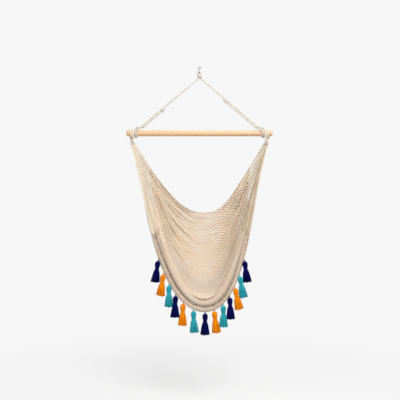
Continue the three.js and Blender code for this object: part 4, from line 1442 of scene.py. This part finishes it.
@dataclass
class Tassel:
    """Yarn tassel: knot, head, tied neck and skirt, hung from the front edge rope."""

    number: int
    finish: YarnFinish
    slot: str
    knot: np.ndarray
    lean: float
    forward: float
    length: float = 0.124
    head: float = 0.033
    head_height: float = 0.038
    neck: float = 0.023
    skirt: float = 0.05
    head_drop: float = 0.008
    tie_width: float = 0.007
    knot_size: float = 0.007
    yarn: float = 0.0031
    outer_count: int = 38
    clumps: int = 7
    inner_count: int = 20
    inner_share: float = 0.86
    tie_cord: float = 0.001
    tie_pitch: float = 0.0016
    tie_turns: float = 3.5

    def placed(self, local: np.ndarray) -> np.ndarray:
        """Points in place from points under the knot."""
        turn = math.radians(-self.lean)
        x = local[:, 0] * math.cos(turn) + local[:, 2] * math.sin(turn)
        z = -local[:, 0] * math.sin(turn) + local[:, 2] * math.cos(turn)
        return np.stack([x, local[:, 1], z], axis=1) + self.knot

    def outline(self, inset: float) -> np.ndarray:
        """Radius and height down the tassel's side, drawn in by inset."""
        top, neck = -self.head_drop, -self.head_drop - self.head_height
        foot = top - self.length
        fall = neck - foot
        head, skirt, waist = self.head / 2.0 - inset, self.skirt / 2.0 - inset, self.neck / 2.0 - inset
        bulge = ((0.62, 0.03), (0.91, 0.17), (1.0, 0.46), (0.91, 0.78))
        points = [(0.0025, 0.0, top + 0.0015)]
        points += [(head * wide, 0.0, top - self.head_height * down) for wide, down in bulge]
        points += [(waist, 0.0, neck), (waist, 0.0, neck - self.tie_width)]
        points.append((skirt * 0.72, 0.0, neck - self.tie_width - fall * 0.2))
        points += [(skirt * 0.9, 0.0, neck - fall * 0.6), (skirt * 1.07, 0.0, foot + 0.002)]
        return curve_through(points, 36)[:, (0, 2)]

    def hung(self, radius: np.ndarray, angle: np.ndarray, height: np.ndarray) -> np.ndarray:
        """Points in place from radii, angles and heights about the tassel's middle."""
        x, y = radius * np.cos(angle), radius * np.sin(angle) - self.forward
        return self.placed(np.stack([x, y, height], axis=1))

    def skirt_yarns(self, chance: np.random.Generator) -> list[Tube]:
        """Yarns that go over the head and hang as the outer skirt, and the shorter ones inside."""
        yarns = []
        side = self.outline(self.yarn / 2.0)
        run = lengths_along(np.stack([side[:, 0], np.zeros(len(side)), side[:, 1]], axis=1))
        waist = 0.42
        places = np.concatenate([np.linspace(0.0, waist, 8)[:-1], np.linspace(waist, 1.0, 6)]) * run[-1]
        radius, height = np.interp(places, run, side[:, 0]), np.interp(places, run, side[:, 1])
        low = smoothstep((places / run[-1] - waist) / 0.58)
        clump_start = chance.uniform(0.0, 6.3)
        for index in range(self.outer_count):
            angle = 2.0 * math.pi * (index + chance.normal(0.0, 0.12)) / self.outer_count
            sway = chance.normal(0.0, 0.09) * low + 0.05 * np.sin(low * 5.0 + chance.random() * 6.0) * low
            ridge = math.cos(self.clumps * angle + clump_start)
            out = radius * (1.0 + (chance.normal(0.0, 0.035) + 0.09 * ridge - 0.02) * low)
            cut = (chance.normal(0.0, 0.002) - 0.001 * ridge) * low
            path = self.hung(out, angle + sway, height + np.minimum(cut, 0.002))
            thick = self.yarn / 2.0 * np.where(low > 0.02, 1.0 + 0.18 * low, 0.92)
            # Painted light on the clumps' ridges with some tone at random, and painted shade in the hollows
            # between clumps low on the skirt.
            ridge_light_and_tone = float(np.clip(0.5 + 0.35 * ridge + chance.normal(0.0, 0.15), 0.0, 1.0))
            yarns.append(Tube(path, thick, 5, ridge_light_and_tone, None, 0.35 * (ridge < -0.5) * low))
        neck = -self.head_drop - self.head_height - self.tie_width
        foot = -self.head_drop - self.length
        drop = np.linspace(neck, foot, 4)
        spread = np.linspace(0.25, 1.0, 4)
        golden_angle = 2.399963
        for index in range(self.inner_count):
            angle = index * golden_angle
            far = self.skirt / 2.0 * self.inner_share * math.sqrt((index + 0.5) / self.inner_count)
            path = self.hung(far * spread, angle, drop + chance.normal(0.0, 0.002) * spread)
            yarns.append(Tube(path, self.yarn * 0.75, 5, float(chance.random())))
        return yarns

    def core(self) -> Tube:
        """Packed yarn inside the head and the upper skirt."""
        side = self.outline(self.yarn * 0.9)
        keep = side[:, 1] > -self.head_drop - self.length * 0.7
        middle = np.zeros(int(keep.sum()))
        path = self.hung(middle, middle, side[keep, 1])
        return Tube(path, np.maximum(side[keep, 0], 0.0008), 14, 0.15)

    def cord_parts(self) -> list[Tube]:
        """Knot at the edge rope, the short stem under it and the tie round the neck."""
        size = self.knot_size / 2.0
        turn = np.linspace(0.0, 2.0 * math.pi, 40)
        knot = np.stack([
            (np.sin(turn) + 2.0 * np.sin(2.0 * turn)) * size * 0.26,
            (np.cos(turn) - 2.0 * np.cos(2.0 * turn)) * size * 0.26,
            -np.sin(3.0 * turn) * size * 0.5,
        ], axis=1)
        top = -self.head_drop
        steps = ((0.2, 0.3), (0.4, 0.5), (0.8, 0.75))
        stem_width = 0.0084
        points = [(0, -self.forward * out, top * down) for out, down in steps]
        stem = curve_through([*points, (0, -self.forward, top - 0.002)], 8)
        neck = top - self.head_height - SEAT_GAP
        tie = winding(
            np.array([0.0, -self.forward, neck - self.tie_width / 2.0]), UP, ACROSS, BACKWARDS,
            self.neck / 2.0 + 0.7 * self.tie_cord, self.tie_pitch, self.tie_turns, 16,
        )
        parts = [Tube(self.placed(knot), 0.0014, 6, 0.8)]
        parts += laid(self.placed(stem), stem_width / 2.0, 3, 0.016, 6, 0.7)
        parts.append(Tube(self.placed(tie), self.tie_cord, 6, 0.9))
        return parts

    def build(self) -> None:
        """Makes the tassel in place of its two solids."""
        chance = np.random.default_rng(100 + self.number)
        word = f"tassel_{self.number:02d}"
        tubes = [*self.skirt_yarns(chance), self.core(), *self.cord_parts()]
        add_piece(f"{word}_yarns", tubes, self.finish, self.slot, f"{word}_body", word, f"{word}_tie")


@dataclass
class TasselRow:
    """Tassels along the front edge rope, each at its place with its own lean."""

    shape: SlingShape
    edge_diameter: float = 0.006
    net_thickness: float = 0.005
    columns: int = 24
    neck_steps: int = 7
    under_share: float = 0.8
    front_share: float = 0.6
    places: tuple[float, ...] = (
        -0.377, -0.302, -0.239, -0.176, -0.12, -0.057, 0.003, 0.05, 0.103, 0.156, 0.21, 0.275, 0.358,
    )
    leans: tuple[float, ...] = (-7.7, -8, 0, -2.3, -1.6, 1.8, -1, 5.6, 1.9, 2.3, 10.8, 9.6, 6.7)

    def build(self) -> None:
        """Seats each tassel's knot under the edge rope and makes the tassel."""
        end = float(self.shape.net_end(1.0))
        outer = np.linspace(1.0, end, self.neck_steps + 1)
        along = np.concatenate([-outer[:-1], np.linspace(-end, end, self.columns + 1), outer[:-1][::-1]])
        rope = self.shape.point(along, 1.0)
        run = lengths_along(rope)
        run = run - run[(len(rope) - 1) // 2]
        finishes = ((NAVY, "navy_yarn"), (ORANGE, "orange_yarn"), (TEAL, "teal_yarn"))
        for index, (place, lean) in enumerate(zip(self.places, self.leans)):
            wanted = place * run[-1]
            after = int(np.searchsorted(run, wanted))
            share = (wanted - run[after - 1]) / (run[after] - run[after - 1])
            point = rope[after - 1] + (rope[after] - rope[after - 1]) * share
            ahead = unit(rope[after] - rope[after - 1])
            outward = unit(np.array([ahead[2], 0.0, -ahead[0]]))
            sample = Tassel(index + 1, *finishes[index % 3], np.zeros(3), lean, 0.0)
            reach = self.edge_diameter / 2.0 + SEAT_GAP + sample.knot_size / 2.0
            knot = point + outward * self.under_share * reach - BACKWARDS * self.front_share * reach
            aside = self.under_share * reach - (sample.head_drop + sample.head_height * 0.45) * outward[2]
            clear = sample.head / 2.0 + self.edge_diameter / 2.0 + self.net_thickness / 2.0 + 2.0 * TURN_GAP
            ahead_of = math.sqrt(max(clear ** 2 - aside ** 2, 0.0))
            sample.knot = knot
            sample.forward = max(ahead_of - self.front_share * reach, 0.0)
            sample.build()
        LOG.info("tassels: %d", len(self.places))


# Studio


@dataclass(frozen=True)
class Lamp:
    """Soft square lamp, its place and the length of its side in metres and its power in watts."""

    name: str
    place: tuple[float, float, float]
    side: float
    power: float

    def build(self, target: tuple[float, float, float]) -> None:
        """Adds the lamp so that it faces the target."""
        data = bpy.data.lights.new(self.name, "AREA")
        data.shape, data.size, data.energy = "SQUARE", self.side, self.power
        lamp = bpy.data.objects.new(self.name, data)
        lamp.location = self.place
        away = np.asarray(self.place, float) - np.asarray(target, float)
        flat = math.hypot(away[0], away[1])
        lamp.rotation_euler = (math.atan2(flat, away[2]), 0.0, math.atan2(away[0], -away[1]))
        bpy.context.scene.collection.objects.link(lamp)


@dataclass
class Studio:
    """Camera at the photograph's viewpoint, a pale floor and soft light."""

    distance: float = 4.0
    level: float = -0.8325
    metres_per_pixel: float = 0.00626
    pixels: int = 400
    floor_level: float = -2.06
    backdrop: float = 0.922
    ambient: float = 0.33
    film: float = 36.0
    middle: tuple[float, float, float] = (0.0, 0.0, -0.95)
    lamps: tuple[Lamp, ...] = (
        Lamp("key", (1.0, -2.7, 2.1), 1.9, 150.0),
        Lamp("fill", (-1.7, -3.1, 1.0), 2.6, 26.0),
        Lamp("back", (0.6, 2.8, 1.4), 2.4, 40.0),
    )

    def camera(self) -> None:
        """Places the camera level with the middle of the object."""
        data = bpy.data.cameras.new("camera")
        data.sensor_width = self.film
        data.lens = self.film * self.distance / (self.metres_per_pixel * self.pixels)
        data.clip_end = 60.0
        camera = bpy.data.objects.new("camera", data)
        camera.location = (0.5 * self.metres_per_pixel, -self.distance, self.level)
        camera.rotation_euler = (math.pi / 2.0, 0.0, 0.0)
        bpy.context.scene.collection.objects.link(camera)
        bpy.context.scene.camera = camera

    def seen(self, sheet: NodeSheet) -> bpy.types.NodeSocket:
        """1 for what the camera sees itself or in a reflection or through glass, else 0."""
        path = sheet.node("ShaderNodeLightPath").outputs
        first = sheet.math("MAXIMUM", path["Is Camera Ray"], path["Is Glossy Ray"])
        return sheet.math("MAXIMUM", first, path["Is Transmission Ray"])

    def world(self) -> None:
        """White ground for the camera, and a plain soft light for the object."""
        world = bpy.data.worlds.new("studio")
        bpy.context.scene.world = world
        world.use_nodes = True
        world.node_tree.nodes.clear()
        sheet = NodeSheet(world.node_tree)
        ground = sheet.node("ShaderNodeBackground", {"Color": (1, 1, 1, 1), "Strength": self.backdrop})
        light = sheet.node("ShaderNodeBackground", {"Color": (1.0, 0.99, 0.975, 1), "Strength": self.ambient})
        inputs = {0: self.seen(sheet), 1: light.outputs[0], 2: ground.outputs[0]}
        mix = sheet.node("ShaderNodeMixShader", inputs)
        sheet.node("ShaderNodeOutputWorld", {0: mix.outputs[0]})

    def floor(self) -> None:
        """Large round floor that fades into the ground colour away from the object."""
        sides, radii = 64, (0.0, 0.8, 1.6, 3.0, 9.0)
        angle = np.arange(sides) * (2.0 * math.pi / sides)
        corners = [(0.0, 0.0, self.floor_level)]
        for radius in radii[1:]:
            corners += [(radius * math.cos(a), radius * math.sin(a), self.floor_level) for a in angle]
        faces = [(0, 1 + i, 1 + (i + 1) % sides) for i in range(sides)]
        for ring in range(len(radii) - 2):
            inner, outer = 1 + ring * sides, 1 + (ring + 1) * sides
            for here, after in zip(range(sides), [*range(1, sides), 0]):
                faces.append((inner + here, outer + here, outer + after, inner + after))
        mesh = bpy.data.meshes.new("floor")
        mesh.from_pydata(corners, [], faces)
        made, sheet, skin = new_material("floor_pale")
        skin.inputs["Base Color"].default_value = (0.9, 0.9, 0.9, 1.0)
        skin.inputs["Roughness"].default_value = 0.9
        x, y, _ = sheet.parts(sheet.place())
        far = sheet.math("SQRT", sheet.weighted(x, x, y, y))
        share = sheet.math("MULTIPLY", self.seen(sheet), sheet.spread(far, 0.6, 2.0, 0.7, 1.0))
        glow = sheet.node("ShaderNodeEmission", {"Color": (1, 1, 1, 1), "Strength": self.backdrop})
        mix = sheet.node("ShaderNodeMixShader", {0: share, 1: skin.outputs[0], 2: glow.outputs[0]})
        sheet.put(made.node_tree.nodes["Material Output"].inputs[0], mix.outputs[0])
        mesh.materials.append(made)
        floor = bpy.data.objects.new("floor", mesh)
        bpy.context.scene.collection.objects.link(floor)

    def build(self) -> None:
        """Sets up the light, the floor and the colour handling."""
        bpy.context.scene.view_settings.view_transform = "Standard"
        self.world()
        self.floor()
        for lamp in self.lamps:
            lamp.build(self.middle)


TAILS = {Side.LEFT: 0.217, Side.RIGHT: 0.305}


def main() -> None:
    """Builds the chair's looks piece by piece and writes how large they are."""
    logging.basicConfig(level=logging.INFO, format="%(message)s")
    studio = Studio()
    studio.camera()
    for side, tail in TAILS.items():
        SuspensionRope(side, tail).build()
    Throat().build()
    HangingHook().build()
    SpreaderBar().build()
    shape = SlingShape()
    for side in Side:
        SlingEye(side).build()
        EndCords(side, shape).build()
    SeatNet(shape).build()
    EdgeRope(shape, 0.0, "back").build()
    EdgeRope(shape, 1.0, "front").build()
    TasselRow(shape).build()
    studio.build()
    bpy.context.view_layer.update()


if __name__ == "__main__":
    main()
